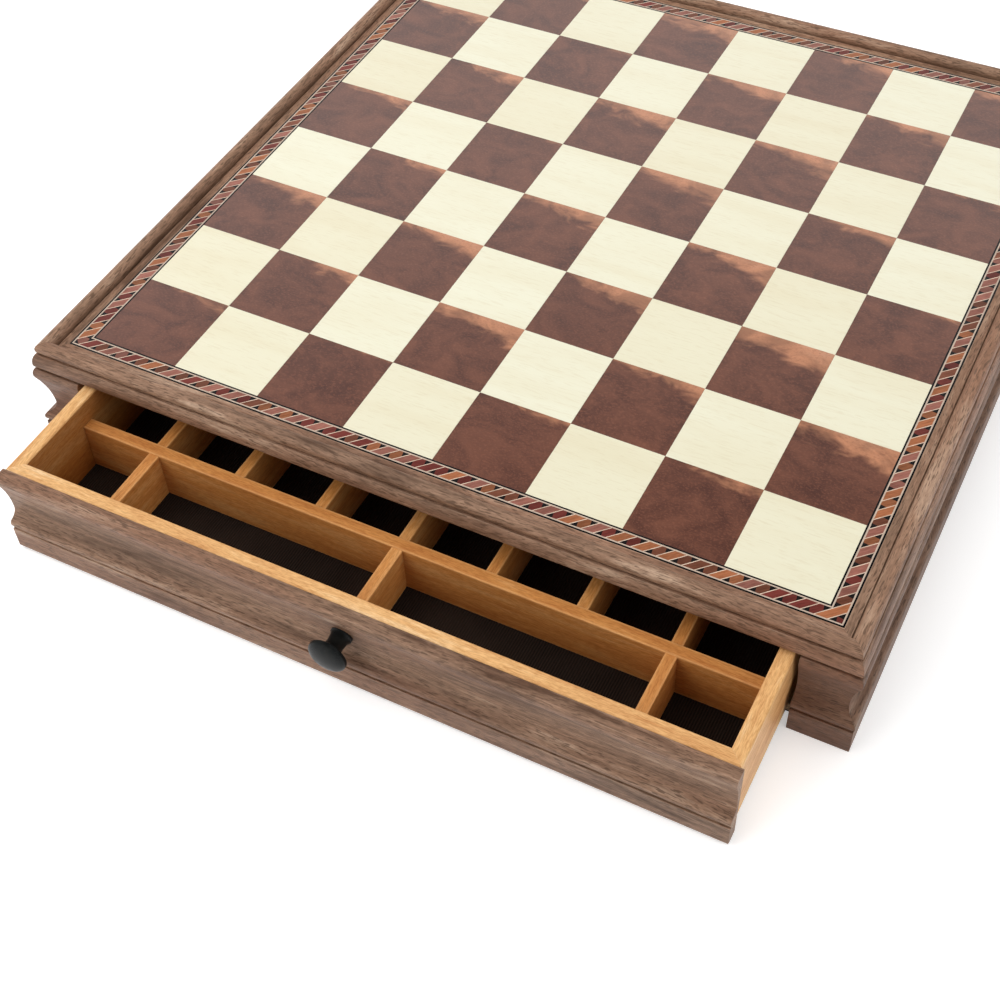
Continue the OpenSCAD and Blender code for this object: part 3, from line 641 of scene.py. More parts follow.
def turned(name, outline, place, turn, finish, around=96):
    """A turned piece: its outline of (radius, distance along the axis) carried round the axis, along -y.

    A point at radius r, distance l and angle a is at x = r cos a, y = -l, z = r sin a. Fans close both poles.
    """
    angle = np.linspace(0, 2 * np.pi, around, endpoint=False)
    body = outline[outline[:, 0] > ON_AXIS]
    radius, along = body[:, :1], body[:, 1:]
    back = np.broadcast_to(-along, (len(body), around))
    points = np.stack((radius * np.cos(angle), back, radius * np.sin(angle)), axis=-1).reshape(-1, 3)
    poles = np.array([[0, -outline[0, 1], 0], [0, -outline[-1, 1], 0]])
    around_on = (np.arange(around) + 1) % around
    first, last = len(points), len(points) + 1
    start = np.stack((np.full(around, first), around_on, np.arange(around)), axis=-1)
    top = (len(body) - 1) * around
    end = np.stack((np.full(around, last), top + np.arange(around), top + around_on), axis=-1)
    points = np.concatenate((points, poles))
    sides = grid_faces(len(body), around)[:, ::-1]
    placed = turned_about(points + place, turn)
    faces = sides.tolist() + start.tolist() + end.tolist()
    return make_mesh(name, placed, faces, points, None, finish, False)


def cloth(name, half_w, half_d, foot, thickness, centre, finish, spacing=3.0):
    """A flat cloth with a slight ripple, as a closed sheet.

    Its middle surface is a grid in x and y at one height, plus two low sine waves, each bent or slanted by the
    other direction. The top and the underside lie half a thickness above and below it, less the waves' height, and
    a strip joins their rims.
    """
    columns, rows = int(2 * half_w / spacing) + 1, int(2 * half_d / spacing) + 1
    x, y = np.meshgrid(np.linspace(-half_w, half_w, columns), np.linspace(-half_d, half_d, rows))
    ripple = RIPPLE * (np.sin(x / 9.0 + 0.7 * np.sin(y / 13.0)) + np.sin(y / 7.0 + x / 31.0))
    middle, half = foot + thickness / 2, thickness / 2 - 2 * RIPPLE - RIPPLE_ROOM
    sides = [np.stack((x, y, middle + ripple + lift), -1).reshape(-1, 3) for lift in (half, -half)]
    number = np.arange(rows * columns).reshape(rows, columns)
    quads = np.stack((number[:-1, :-1], number[:-1, 1:], number[1:, 1:], number[1:, :-1]), -1).reshape(-1, 4)
    rim = np.concatenate((number[0, :-1], number[:-1, -1], number[-1, :0:-1], number[:0:-1, 0]))
    rim_on, under = np.roll(rim, -1), rows * columns
    strip = np.stack((rim, rim + under, rim_on + under, rim_on), -1)
    faces = np.concatenate((quads, quads[:, ::-1] + under, strip))
    points = np.concatenate(sides) + np.asarray(centre, float)
    return make_mesh(name, points, faces.tolist(), points, None, finish, False)


def dress(piece, body, slot, *nodes):
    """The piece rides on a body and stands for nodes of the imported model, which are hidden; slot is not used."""
    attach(piece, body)
    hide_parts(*nodes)


# ---- materials ----


class NodeTree:
    """Adds nodes to a material or a world. Each method hands back the new node's output.

    An input takes either another node's output or a plain value. The scale of a pattern is its repeats in a metre,
    and where it has three parts the first is along the grain.
    """

    def __init__(self, tree):
        self.nodes, self.links = tree.nodes, tree.links
        self.nodes.clear()

    def put(self, socket, value):
        """Joins an output to the socket, or sets a plain value on it."""
        if isinstance(value, bpy.types.NodeSocket):
            self.links.new(value, socket)
        else:
            socket.default_value = value

    def add(self, kind, values, output=0, **details):
        """A node of that kind, with its details set and values put into its inputs, by name or number."""
        node = self.nodes.new("ShaderNode" + kind)
        for key, detail in details.items():
            setattr(node, key, detail)
        for key, value in values.items():
            self.put(node.inputs[key], value)
        return node.outputs[output] if node.outputs else None

    def attribute(self, name, output="Vector"):
        """What the mesh stores at each point under that name."""
        return self.add("Attribute", {}, output, attribute_name=name)

    def object_place(self):
        """The place on the object, in metres."""
        return self.add("TexCoord", {}, "Object")

    def scaled(self, vector, scale):
        """The vector, times a scale for each axis."""
        return self.add("VectorMath", {0: vector, 1: scale}, operation="MULTIPLY")

    def moved(self, vector, by):
        """The sum of two vectors."""
        return self.add("VectorMath", {0: vector, 1: by}, operation="ADD")

    def length_of(self, vector):
        """How long the vector is."""
        return self.add("VectorMath", {0: vector}, "Value", operation="LENGTH")

    def part_of(self, vector, axis):
        """One part of the vector: 0 for x, 1 for y, 2 for z."""
        return self.add("SeparateXYZ", {0: vector}, axis)

    def noise(self, vector, scale=1.0, detail=3.0, roughness=0.5, distortion=0.0, output="Fac"):
        """Cloudy noise."""
        values = {"Scale": scale, "Detail": detail, "Roughness": roughness, "Distortion": distortion}
        return self.add("TexNoise", {"Vector": vector, **values}, output)

    def maths(self, operation, a, b=0.0, c=0.0):
        """One sum of one, two or three values."""
        return self.add("Math", {0: a, 1: b, 2: c}, operation=operation)

    def between(self, value, low, high, to_low=0.0, to_high=1.0, smooth=True):
        """The value carried over from low and high to to_low and to_high, and held there beyond them."""
        ends = {"From Min": low, "From Max": high, "To Min": to_low, "To Max": to_high}
        course = "SMOOTHSTEP" if smooth else "LINEAR"
        return self.add("MapRange", {"Value": value, **ends}, "Result", interpolation_type=course)

    def mix(self, factor, a, b, blend="MIX"):
        """Two colours mixed by a factor, or the second laid over the first in another blend."""
        a, b = (shade if isinstance(shade, bpy.types.NodeSocket) else (*shade, 1.0) for shade in (a, b))
        return self.add("Mix", {0: factor, 6: a, 7: b}, 2, data_type="RGBA", blend_type=blend)

    def ramp(self, factor, *stops):
        """A colour for each value of the factor, from stops of (value, colour)."""
        colour_out = self.add("ValToRGB", {"Fac": factor}, "Color")
        line = colour_out.node.color_ramp
        while len(line.elements) < len(stops):
            line.elements.new(0.5)
        for element, (at, shade) in zip(line.elements, stops):
            element.position, element.color = at, (*shade, 1.0)
        return colour_out

    def bump(self, height, distance, strength=1.0):
        """A normal that stands up by the height, times a distance in metres."""
        return self.add("Bump", {"Height": height, "Distance": distance, "Strength": strength}, "Normal")

    def only_seen(self):
        """1 for rays from the camera and for glossy and clear ones, 0 for rays that light dull surfaces."""
        path = self.add("LightPath", {}).node
        seen = path.outputs["Is Camera Ray"]
        for name in ("Is Glossy Ray", "Is Transmission Ray"):
            seen = self.maths("MAXIMUM", seen, path.outputs[name])
        return seen


class Finish(NodeTree):
    """One material with its shader."""

    def __init__(self, name):
        self.material = bpy.data.materials.new(name)
        self.material.use_nodes = True
        super().__init__(self.material.node_tree)
        self.shader = self.add("BsdfPrincipled", {}).node
        self.add("OutputMaterial", {"Surface": self.shader.outputs["BSDF"]})

    def surface(self, **values):
        """Sets or joins sockets of the shader, named with underscores for spaces."""
        for name, value in values.items():
            self.put(self.shader.inputs[name.replace("_", " ")], value)


def tinted(shade, factor):
    """The colour times a factor."""
    return tuple(channel * factor for channel in shade)


def walnut_finish(name, tone=1.0, redness=0.0):
    """Oiled walnut: zones, streaks and fibres bent by a slow wave, and short dark pores that are hollows."""
    colours, f = settings("chessbox_finish"), Finish(name)
    grain = f.attribute("grain")
    wave = f.noise(f.scaled(grain, (8, 28, 28)), detail=2, output="Color")
    bent = f.moved(grain, f.scaled(wave, (0.0, 0.014, 0.012)))
    zones = f.noise(f.scaled(bent, (11, 95, 95)), detail=3, roughness=0.55)
    streaks = f.noise(f.scaled(bent, (48, 420, 420)), detail=3, roughness=0.6)
    fibres = f.noise(f.scaled(bent, (260, 1600, 1600)), detail=3, roughness=0.68)
    pores = f.between(f.noise(f.scaled(bent, (230, 2000, 2000)), detail=1), 0.55, 0.64)
    shades = colours.walnut_dark, colours.walnut, colours.walnut_light
    dark, middle, light = (tinted(shade, tone) for shade in shades)
    figure = f.maths("MULTIPLY_ADD", zones, 0.62, f.maths("MULTIPLY", streaks, 0.38))
    stops = (0.36, dark), (0.46, tinted(middle, 0.85)), (0.55, tinted(middle, 1.12)), (0.66, light)
    base = f.ramp(figure, *stops)
    slow = f.noise(f.scaled(grain, (6, 40, 40)), detail=2)
    red = (middle[0] * 0.95, middle[1] * 0.70, middle[2] * 0.62)
    base = f.mix(f.between(slow, 0.38, 0.65, redness, redness + 0.4), base, red)
    fibre_tone = f.ramp(fibres, (0.32, (0.62, 0.58, 0.55)), (0.66, (1.14, 1.14, 1.14)))
    base = f.mix(0.85, base, fibre_tone, "MULTIPLY")
    base = f.mix(f.maths("MULTIPLY", pores, 0.7), base, tinted(dark, 0.9))
    worn = f.attribute("worn", "Fac")
    patches = f.between(f.noise(f.scaled(grain, (60, 60, 60)), detail=3), 0.35, 0.7)
    rub = f.maths("MULTIPLY", f.between(worn, 0.2, 1.0), patches)
    base = f.mix(f.maths("MULTIPLY", rub, colours.wear), base, tinted(light, 1.2))
    # Painted shade darkens the hollows and quirks, and on the rails old wax comes with it.
    hollow = f.maths("MULTIPLY", worn, -1.0)
    base = f.mix(f.between(hollow, 0.1, 1.0, 0.0, 0.35), base, tinted(dark, 0.7))
    height = f.maths("SUBTRACT", f.maths("MULTIPLY", fibres, 0.5), pores)
    roughness = f.between(streaks, 0.3, 0.7, 0.58, 0.44, smooth=False)
    f.surface(
        Base_Color=base, Roughness=roughness, Normal=f.bump(height, 0.00008, 0.6), Specular_IOR_Level=0.34
    )
    return f.material


def boxwood_finish(name, tone=(1.0, 1.0, 1.0)):
    """Close-grained drawer wood under a thin varnish: streaks, short flecks, and painted shade in the corners and on
    the inner faces.
    """
    colours, f = settings("chessbox_finish"), Finish(name)
    shades = colours.boxwood_dark, colours.boxwood, colours.boxwood_light
    dark, middle, light = (tuple(c * t for c, t in zip(shade, tone)) for shade in shades)
    grain = f.attribute("grain")
    wave = f.noise(f.scaled(grain, (6, 25, 25)), detail=2, output="Color")
    bent = f.moved(grain, f.scaled(wave, (0.0, 0.012, 0.012)))
    zones = f.noise(f.scaled(bent, (7, 90, 90)), detail=3, roughness=0.55)
    streaks = f.noise(f.scaled(bent, (45, 480, 480)), detail=4, roughness=0.65)
    flecks = f.noise(f.scaled(bent, (330, 2100, 2100)), detail=3, roughness=0.6)
    figure = f.maths("MULTIPLY_ADD", zones, 0.55, f.maths("MULTIPLY", streaks, 0.45))
    base = f.ramp(figure, (0.28, dark), (0.50, middle), (0.70, light))
    fleck_tone = f.ramp(flecks, (0.34, (0.74, 0.62, 0.50)), (0.62, (1.06, 1.06, 1.06)))
    base = f.mix(0.85, base, fleck_tone, "MULTIPLY")
    worn = f.attribute("worn", "Fac")
    base = f.mix(f.between(worn, 0.0, 1.0, 0.0, 0.3), base, tinted(light, 1.1))
    # Painted shade: hollows and the inner faces are darkened and made more orange.
    hollow = f.maths("MULTIPLY", worn, -1.0)
    base = f.mix(f.between(hollow, 0.1, 0.8), base, (0.50, 0.32, 0.16), "MULTIPLY")
    f.surface(
        Base_Color=base, Roughness=f.between(streaks, 0.3, 0.7, 0.52, 0.40, smooth=False),
        Normal=f.bump(flecks, 0.00005, 0.5), Specular_IOR_Level=0.3,
    )
    return f.material


def lacquer(f, base, height, distance=0.00003, strength=0.35, coat=1.0):
    """A clear glossy lacquer over a board veneer: a coat that is slightly rippled, with no gloss under it."""
    ripple = f.noise(f.object_place(), scale=420, detail=2)
    f.surface(Base_Color=base, Roughness=0.5, Specular_IOR_Level=0.0)
    f.surface(Coat_Weight=coat, Coat_Roughness=0.12, Coat_IOR=1.7)
    f.surface(Normal=f.bump(height, distance, strength), Coat_Normal=f.bump(ripple, 0.00003, 0.5))


def maple_finish(name):
    """Cream maple veneer: short fine flecks along the grain, and a tone of its own for each square, darker in the
    front row as painted shade.
    """
    colours, f = settings("chessbox_finish"), Finish(name)
    grain, leaf = f.attribute("grain"), f.attribute("leaf")
    flecks = f.noise(f.scaled(grain, (150, 1300, 1300)), detail=3, roughness=0.6)
    bands = f.noise(f.scaled(grain, (12, 85, 85)), detail=3, roughness=0.5, distortion=0.4)
    base = f.mix(f.between(bands, 0.35, 0.7, 0.0, 0.34), colours.maple, colours.maple_dark)
    base = f.mix(f.between(flecks, 0.50, 0.70, 0.0, 0.4), base, tinted(colours.maple_dark, 0.94))
    tone = f.ramp(f.part_of(leaf, 2), (0.0, (0.95, 0.915, 0.86)), (1.0, (1.0, 1.0, 1.0)))
    lacquer(f, f.mix(1.0, base, tone, "MULTIPLY"), flecks)
    return f.material


def burl_finish(name):
    """Dark burl veneer: clouded red-brown, finely speckled, with orange sapwood at each square's rear edge."""
    colours, f = settings("chessbox_finish"), Finish(name)
    grain, leaf = f.attribute("grain"), f.attribute("leaf")
    clouds = f.noise(f.scaled(grain, (55, 75, 75)), detail=5, roughness=0.6, distortion=0.9)
    speckle = f.noise(f.scaled(grain, (900, 1300, 1300)), detail=2, roughness=0.6)
    base = f.mix(f.between(clouds, 0.25, 0.75), colours.burl_dark, colours.burl)
    base = f.mix(f.between(speckle, 0.46, 0.72, 0.0, 0.35), base, tinted(colours.burl, 1.7))
    # Sapwood grows towards the rear edge, a little towards the right, and with each square's own strength, which
    # is lowered in the front row as painted shade.
    rough_edge = f.noise(f.scaled(grain, (75, 150, 150)), detail=4, roughness=0.6, distortion=0.6)
    rear = f.maths("ADD", f.part_of(leaf, 1), f.maths("MULTIPLY", f.part_of(leaf, 0), 0.22))
    rear = f.maths("ADD", rear, f.maths("MULTIPLY", f.maths("SUBTRACT", rough_edge, 0.5), 1.15))
    rear = f.maths("ADD", rear, f.maths("MULTIPLY", f.part_of(leaf, 2), 0.75))
    sap = f.between(rear, 1.12, 1.52)
    orange = f.mix(f.between(clouds, 0.35, 0.65), tinted(colours.sapwood, 0.7), tinted(colours.sapwood, 1.15))
    paler = (colours.sapwood[0] * 1.3, colours.sapwood[1] * 1.6, colours.sapwood[2] * 1.9)
    orange = f.mix(f.between(rear, 1.5, 2.1, 0.0, 0.6), orange, paler)
    orange = f.mix(f.between(speckle, 0.5, 0.7, 0.0, 0.35), orange, tinted(colours.burl, 1.4))
    lacquer(f, f.mix(f.maths("MULTIPLY", sap, 0.92), base, orange), speckle, 0.00002, 0.25)
    return f.material


def line_finish(name, shade, contrast):
    """Thin dyed or bleached stringing, finely mottled."""
    f = Finish(name)
    mottle = f.noise(f.scaled(f.object_place(), (700, 700, 700)), detail=3, roughness=0.6)
    lacquer(f, f.mix(f.between(mottle, 0.35, 0.65), tinted(shade, 1 - contrast), shade), mottle, coat=0.4)
    return f.material


def rope_finish(name):
    """Rope marquetry: each tile has its own wood, read from its colour, with fibres across it."""
    f = Finish(name)
    wood = f.attribute("wood", "Color")
    fibres = f.noise(f.scaled(f.attribute("grain"), (250, 1500, 1500)), detail=3, roughness=0.6)
    fibre_tone = f.ramp(fibres, (0.3, (0.70, 0.66, 0.62)), (0.68, (1.12, 1.1, 1.08)))
    lacquer(f, f.mix(1.0, wood, fibre_tone, "MULTIPLY"), fibres, coat=0.4)
    return f.material


def cloth_finish(name, shade, rib, sheen):
    """Cloth: raised ribs along y, crossed by finer threads, and soft fuzz over them."""
    f, whole_turn = Finish(name), 2 * np.pi
    spot = f.object_place()
    across = f.maths("SINE", f.maths("MULTIPLY", f.part_of(spot, 0), whole_turn / rib))
    along = f.maths("SINE", f.maths("MULTIPLY", f.part_of(spot, 1), whole_turn / (rib * 0.55)))
    fuzz = f.noise(spot, scale=1500, detail=3, roughness=0.7)
    patches = f.noise(spot, scale=35, detail=3)
    weave = f.maths("ADD", f.maths("MULTIPLY", across, 0.6), f.maths("MULTIPLY", along, 0.25))
    height = f.maths("ADD", weave, fuzz)
    tone = f.mix(f.between(height, 0.0, 1.3), tinted(shade, 0.45), tinted(shade, 1.7))
    tone = f.mix(f.between(patches, 0.35, 0.7, 0.0, 0.45), tone, tinted(shade, 2.0))
    f.surface(Base_Color=tone, Roughness=0.95, Normal=f.bump(height, 0.00018, 0.8))
    f.surface(Sheen_Weight=sheen, Sheen_Roughness=0.5, Specular_IOR_Level=0.12)
    return f.material


def knob_finish(name):
    """Black lacquered wood: deep gloss, faint turning rings, a little dust and handling."""
    colours, f = settings("chessbox_finish"), Finish(name)
    spot = f.attribute("grain")
    rings = f.noise(f.scaled(spot, (60, 2600, 60)), detail=2)
    smears = f.noise(spot, scale=260, detail=4, roughness=0.65)
    base = f.mix(f.between(smears, 0.4, 0.75), colours.knob_dark, colours.knob)
    f.surface(Base_Color=base, Roughness=f.between(smears, 0.35, 0.75, 0.26, 0.46, smooth=False))
    f.surface(Specular_IOR_Level=0.14, Normal=f.bump(rings, 0.00002, 0.3))
    return f.material


def plywood_finish(name, ply=0.0009):
    """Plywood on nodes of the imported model: rotary-cut grain, and edges of plies with dark glue lines."""
    colours, f = settings("chessbox_finish"), Finish(name)
    spot = f.object_place()
    face = f.noise(f.scaled(spot, (9, 160, 900)), detail=4, roughness=0.6, distortion=0.3)
    pores = f.noise(f.scaled(spot, (250, 1800, 1800)), detail=2)
    stops = (0.3, colours.plywood_dark), (0.5, colours.plywood), (0.7, colours.plywood_light)
    base = f.ramp(face, *stops)
    base = f.mix(f.between(pores, 0.55, 0.7, 0.0, 0.5), base, (0.28, 0.16, 0.07))
    upright = f.maths("ABSOLUTE", f.part_of(f.add("NewGeometry", {}, "Normal"), 2))
    on_edge = f.between(upright, 0.3, 0.7, 1.0, 0.0)
    plies = f.maths("FRACT", f.maths("MULTIPLY", f.part_of(spot, 2), 1 / (2 * ply)))
    glue = f.between(f.maths("ABSOLUTE", f.maths("SUBTRACT", plies, 0.5)), 0.42, 0.48)
    layered = f.mix(glue, base, (0.16, 0.085, 0.04))
    layered = f.mix(f.between(plies, 0.49, 0.51, 0.0, 0.35), layered, (0.33, 0.2, 0.1))
    f.surface(Base_Color=f.mix(on_edge, base, layered), Roughness=0.62, Normal=f.bump(pores, 0.00006, 0.4))
    return f.material


def guide_finish(name):
    """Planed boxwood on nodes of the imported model, with its grain along y."""
    colours, f = settings("chessbox_finish"), Finish(name)
    spot = f.object_place()
    streaks = f.noise(f.scaled(spot, (150, 8, 150)), detail=4, roughness=0.6, distortion=0.2)
    flecks = f.noise(f.scaled(spot, (1500, 140, 1500)), detail=2)
    stops = (0.3, colours.boxwood_dark), (0.5, colours.boxwood), (0.7, colours.boxwood_light)
    fleck_tone = f.ramp(flecks, (0.3, (0.7, 0.6, 0.5)), (0.6, (1.0, 1.0, 1.0)))
    base = f.mix(0.5, f.ramp(streaks, *stops), fleck_tone, "MULTIPLY")
    roughness = f.between(streaks, 0.3, 0.7, 0.6, 0.5)
    f.surface(Base_Color=base, Roughness=roughness, Normal=f.bump(flecks, 0.00005, 0.5))
    return f.material


def steel_finish(name):
    """Zinc-plated screws: clouded plating with fine turning marks."""
    colours, f = settings("chessbox_finish"), Finish(name)
    spot = f.object_place()
    clouds = f.noise(spot, scale=900, detail=3)
    marks = f.noise(f.scaled(spot, (300, 300, 9000)), detail=2)
    base = f.mix(f.between(clouds, 0.35, 0.7), colours.steel_dark, colours.steel)
    roughness = f.between(clouds, 0.3, 0.7, 0.42, 0.26)
    f.surface(Base_Color=base, Metallic=1.0, Roughness=roughness, Normal=f.bump(marks, 0.00002, 0.4))
    return f.material


def material(name, maker, **details):
    """The finish of that name, made once."""
    name = "finish_" + name
    return bpy.data.materials.get(name) or maker(name, **details)


def boxwood(where):
    """The drawers' wood as it is finished on the drawer boxes or, deeper in colour, on the dividers."""
    tone = {"boxes": (1.0, 1.0, 1.0), "dividers": (0.76, 0.56, 0.36)}[where]
    return material("boxwood_" + where, boxwood_finish, tone=tone)


def walnut(where):
    """Walnut as it is finished on the rails, the case or the drawer facings."""
    tone, redness = {"rail": (1.26, 0.0), "case": (0.80, 0.3), "facing": (1.14, 0.0)}[where]
    return material("walnut_" + where, walnut_finish, tone=tone, redness=redness)


# ---- operators, one for each piece or group of like pieces ----


class CHESSBOX_OT_case(Operator):
    """Make the two moulded walls and the four moulded posts beside the drawer openings"""

    bl_idname = "chessbox.case"
    bl_label = "Walls and posts"
    bl_options = {"REGISTER", "UNDO"}

    def execute(self, context):
        c, finish = in_mm("chessbox_case"), walnut("case")

        def without_rebate(section):
            """The section with its rebate pressed against the inner face."""
            beyond = np.array([c.wall_in + c.rebate_w, c.rebate_h]) + REBATE_ROOM
            inside = (section < beyond).all(axis=1)
            shut = section.copy()
            shut[inside, 0] = c.wall_in + (section[inside, 0] - c.wall_in) * SHUT_SHARE
            return shut

        stopped = (c.wall_in, without_rebate)
        for name, turns in (("right_wall", 0), ("left_wall", 2)):
            piece = bar(
                name + "_moulded", wall_outline(), (0, 0), (-1, 1), finish, turns,
                edge=c.arris, stopped=stopped,
            )
            dress(piece, "case", "walnut", name)
        for name, turns, at_right in (
            ("front_right_post", 3, True), ("front_left_post", 3, False),
            ("back_left_post", 1, True), ("back_right_post", 1, False),
        ):
            ends, slopes = ((c.opening_half, 0), (0, 1)) if at_right else ((0, -c.opening_half), (-1, 0))
            piece = bar(name + "_moulded", post_outline(), ends, slopes, finish, turns, edge=c.arris)
            dress(piece, "case", "walnut", name)
        return {"FINISHED"}


class CHESSBOX_OT_rails(Operator):
    """Make the four mitred rails round the board, each with a raised roll above a bead"""

    bl_idname = "chessbox.rails"
    bl_label = "Rails"
    bl_options = {"REGISTER", "UNDO"}

    def execute(self, context):
        c, r, finish = in_mm("chessbox_case"), in_mm("chessbox_rails"), walnut("rail")
        roll_in, highest = c.plinth_face - r.crest_inset - 2 * r.crest_r, r.crest_rise + 0.8 * r.crest_r

        def dirt(section):
            """Old wax and painted shade: full in the quirk at the roll's inner foot, thinning out up the roll's inner
            side.
            """
            x, z = section.T
            across = (x > roll_in - r.crest_quirk_w - TOUCH) & (x < roll_in + r.crest_r)
            low = across & (z > r.board_top - r.crest_quirk_d - 2 * TOUCH)
            return low * np.clip(1 - (z - r.board_top) / highest, 0, 1)

        for name, turns in (("front_rail", 3), ("back_rail", 1), ("right_rail", 0), ("left_rail", 2)):
            piece = bar(
                name + "_moulded", rail_outline(), (0, 0), (-1, 1), finish, turns,
                edge=r.arris, band=0.35, end_edge=r.mitre_arris, dirt=dirt,
            )
            dress(piece, "case", "walnut", name)
        return {"FINISHED"}


class CHESSBOX_OT_squares(Operator):
    """Make the light and the dark squares of veneer, each with its own figure"""

    bl_idname = "chessbox.squares"
    bl_label = "Squares"
    bl_options = {"REGISTER", "UNDO"}

    def execute(self, context):
        b, top = in_mm("chessbox_board"), in_mm("chessbox_rails").board_top
        column, row = (v.ravel() for v in np.meshgrid(np.arange(b.squares), np.arange(b.squares)))
        centre = (np.column_stack((column, row)) - (b.squares - 1) / 2) * b.square_w
        half = (b.square_w - b.joint) / 2
        square = np.array([[-1, -1], [1, -1], [1, 1], [-1, 1]]) * half
        rng = chance("squares")
        offset = figure_shift(rng, len(centre))
        # How strong the sapwood is on each dark square and how pale each light one is: random, and lowered in the
        # front row as painted shade.
        strength = rng.uniform(0.0, 1.0, len(centre)) ** 0.8 * np.where(row == 0, 0.45, 1.0)
        for parity, name, nodes, slot, maker in (
            (1, "light_veneers", "light_squares", "maple_veneer", maple_finish),
            (0, "dark_veneers", "dark_squares", "burl_veneer", burl_finish),
        ):
            chosen = (column + row) % 2 == parity
            middle, own, power = centre[chosen], offset[chosen], strength[chosen]

            def grain_of(i, points):
                """The points from their square's middle, with the square's own shift."""
                return points - [*middle[i], 0] + own[i]

            plans, finish = middle[:, None] + square, material(nodes, maker)
            piece = prisms(name, plans, top - b.veneer_t, top, SQUARE_EDGE, finish, grain_of)
            # leaf is a point's place in its square, from -1 to 1 in x and in y, and the square's strength, which
            # holds the front row's painted shade.
            place = np.empty((len(piece.data.vertices), 3), np.float32)
            piece.data.vertices.foreach_get("co", place.ravel())
            per = len(place) // len(middle)
            local = (place.reshape(len(middle), per, 3)[..., :2] / MM - middle[:, None]) / half
            same = np.broadcast_to(power[:, None, None], (len(middle), per, 1))
            put_attribute(piece.data, "leaf", "FLOAT_VECTOR", np.concatenate((local, same), -1))
            dress(piece, "case", slot, nodes)
        return {"FINISHED"}


def ring_plans(inner, outer):
    """Plans of a square ring's four mitred strips."""
    strip = np.array([[inner, -inner], [outer, -outer], [outer, outer], [inner, inner]])
    strip = np.column_stack((strip, np.zeros(4)))
    return [turned_about(strip, turn)[:, :2] for turn in range(4)]


class CHESSBOX_OT_stringing(Operator):
    """Make the black and the pale stringing lines on both sides of the rope banding"""

    bl_idname = "chessbox.stringing"
    bl_label = "Stringing"
    bl_options = {"REGISTER", "UNDO"}

    def execute(self, context):
        b, colours = in_mm("chessbox_board"), settings("chessbox_finish")
        top, field = in_mm("chessbox_rails").board_top, b.squares * b.square_w / 2
        edges = field + np.cumsum([0, b.black_w, b.pale_w, b.rope_w, b.pale_w, b.black_w])
        for name, node, slot, rings, shade, contrast in (
            ("black_lines", "black_stringing", "black_line", (0, 4), colours.black_line, 0.5),
            ("pale_lines", "pale_stringing", "pale_line", (1, 3), colours.pale_line, 0.14),
        ):
            plans = [plan for ring in rings for plan in ring_plans(edges[ring], edges[ring + 1])]
            finish = material(node, line_finish, shade=shade, contrast=contrast)
            piece = prisms(name, plans, top - b.veneer_t, top, INLAY_EDGE, finish, lambda i, points: points)
            dress(piece, "case", slot, node)
        return {"FINISHED"}


class CHESSBOX_OT_rope(Operator):
    """Make the rope banding from slanting tiles, black corner tiles and thin pale lines"""

    bl_idname = "chessbox.rope"
    bl_label = "Rope banding"
    bl_options = {"REGISTER", "UNDO"}

    def execute(self, context):
        b, top = in_mm("chessbox_board"), in_mm("chessbox_rails").board_top
        inner = b.squares * b.square_w / 2 + b.black_w + b.pale_w
        plans, woods = rope_plans(inner, inner + b.rope_w, b, settings("chessbox_finish"))
        offset = figure_shift(chance("rope_tiles"), len(plans))
        slant = np.array([[1, -1, 0], [1, 1, 0], [0, 0, 1.4]]) / 2**0.5

        def grain_of(i, points):
            """The points turned by an eighth of a turn, as the slanting tiles lie, with each tile's own shift."""
            return points @ slant + offset[i]

        finish, extras = material("rope_banding", rope_finish), [("wood", "FLOAT_COLOR", woods)]
        piece = prisms("rope_tiles", plans, top - b.veneer_t, top, INLAY_EDGE, finish, grain_of, extras)
        dress(piece, "case", "rope_marquetry", "rope_banding")
        return {"FINISHED"}


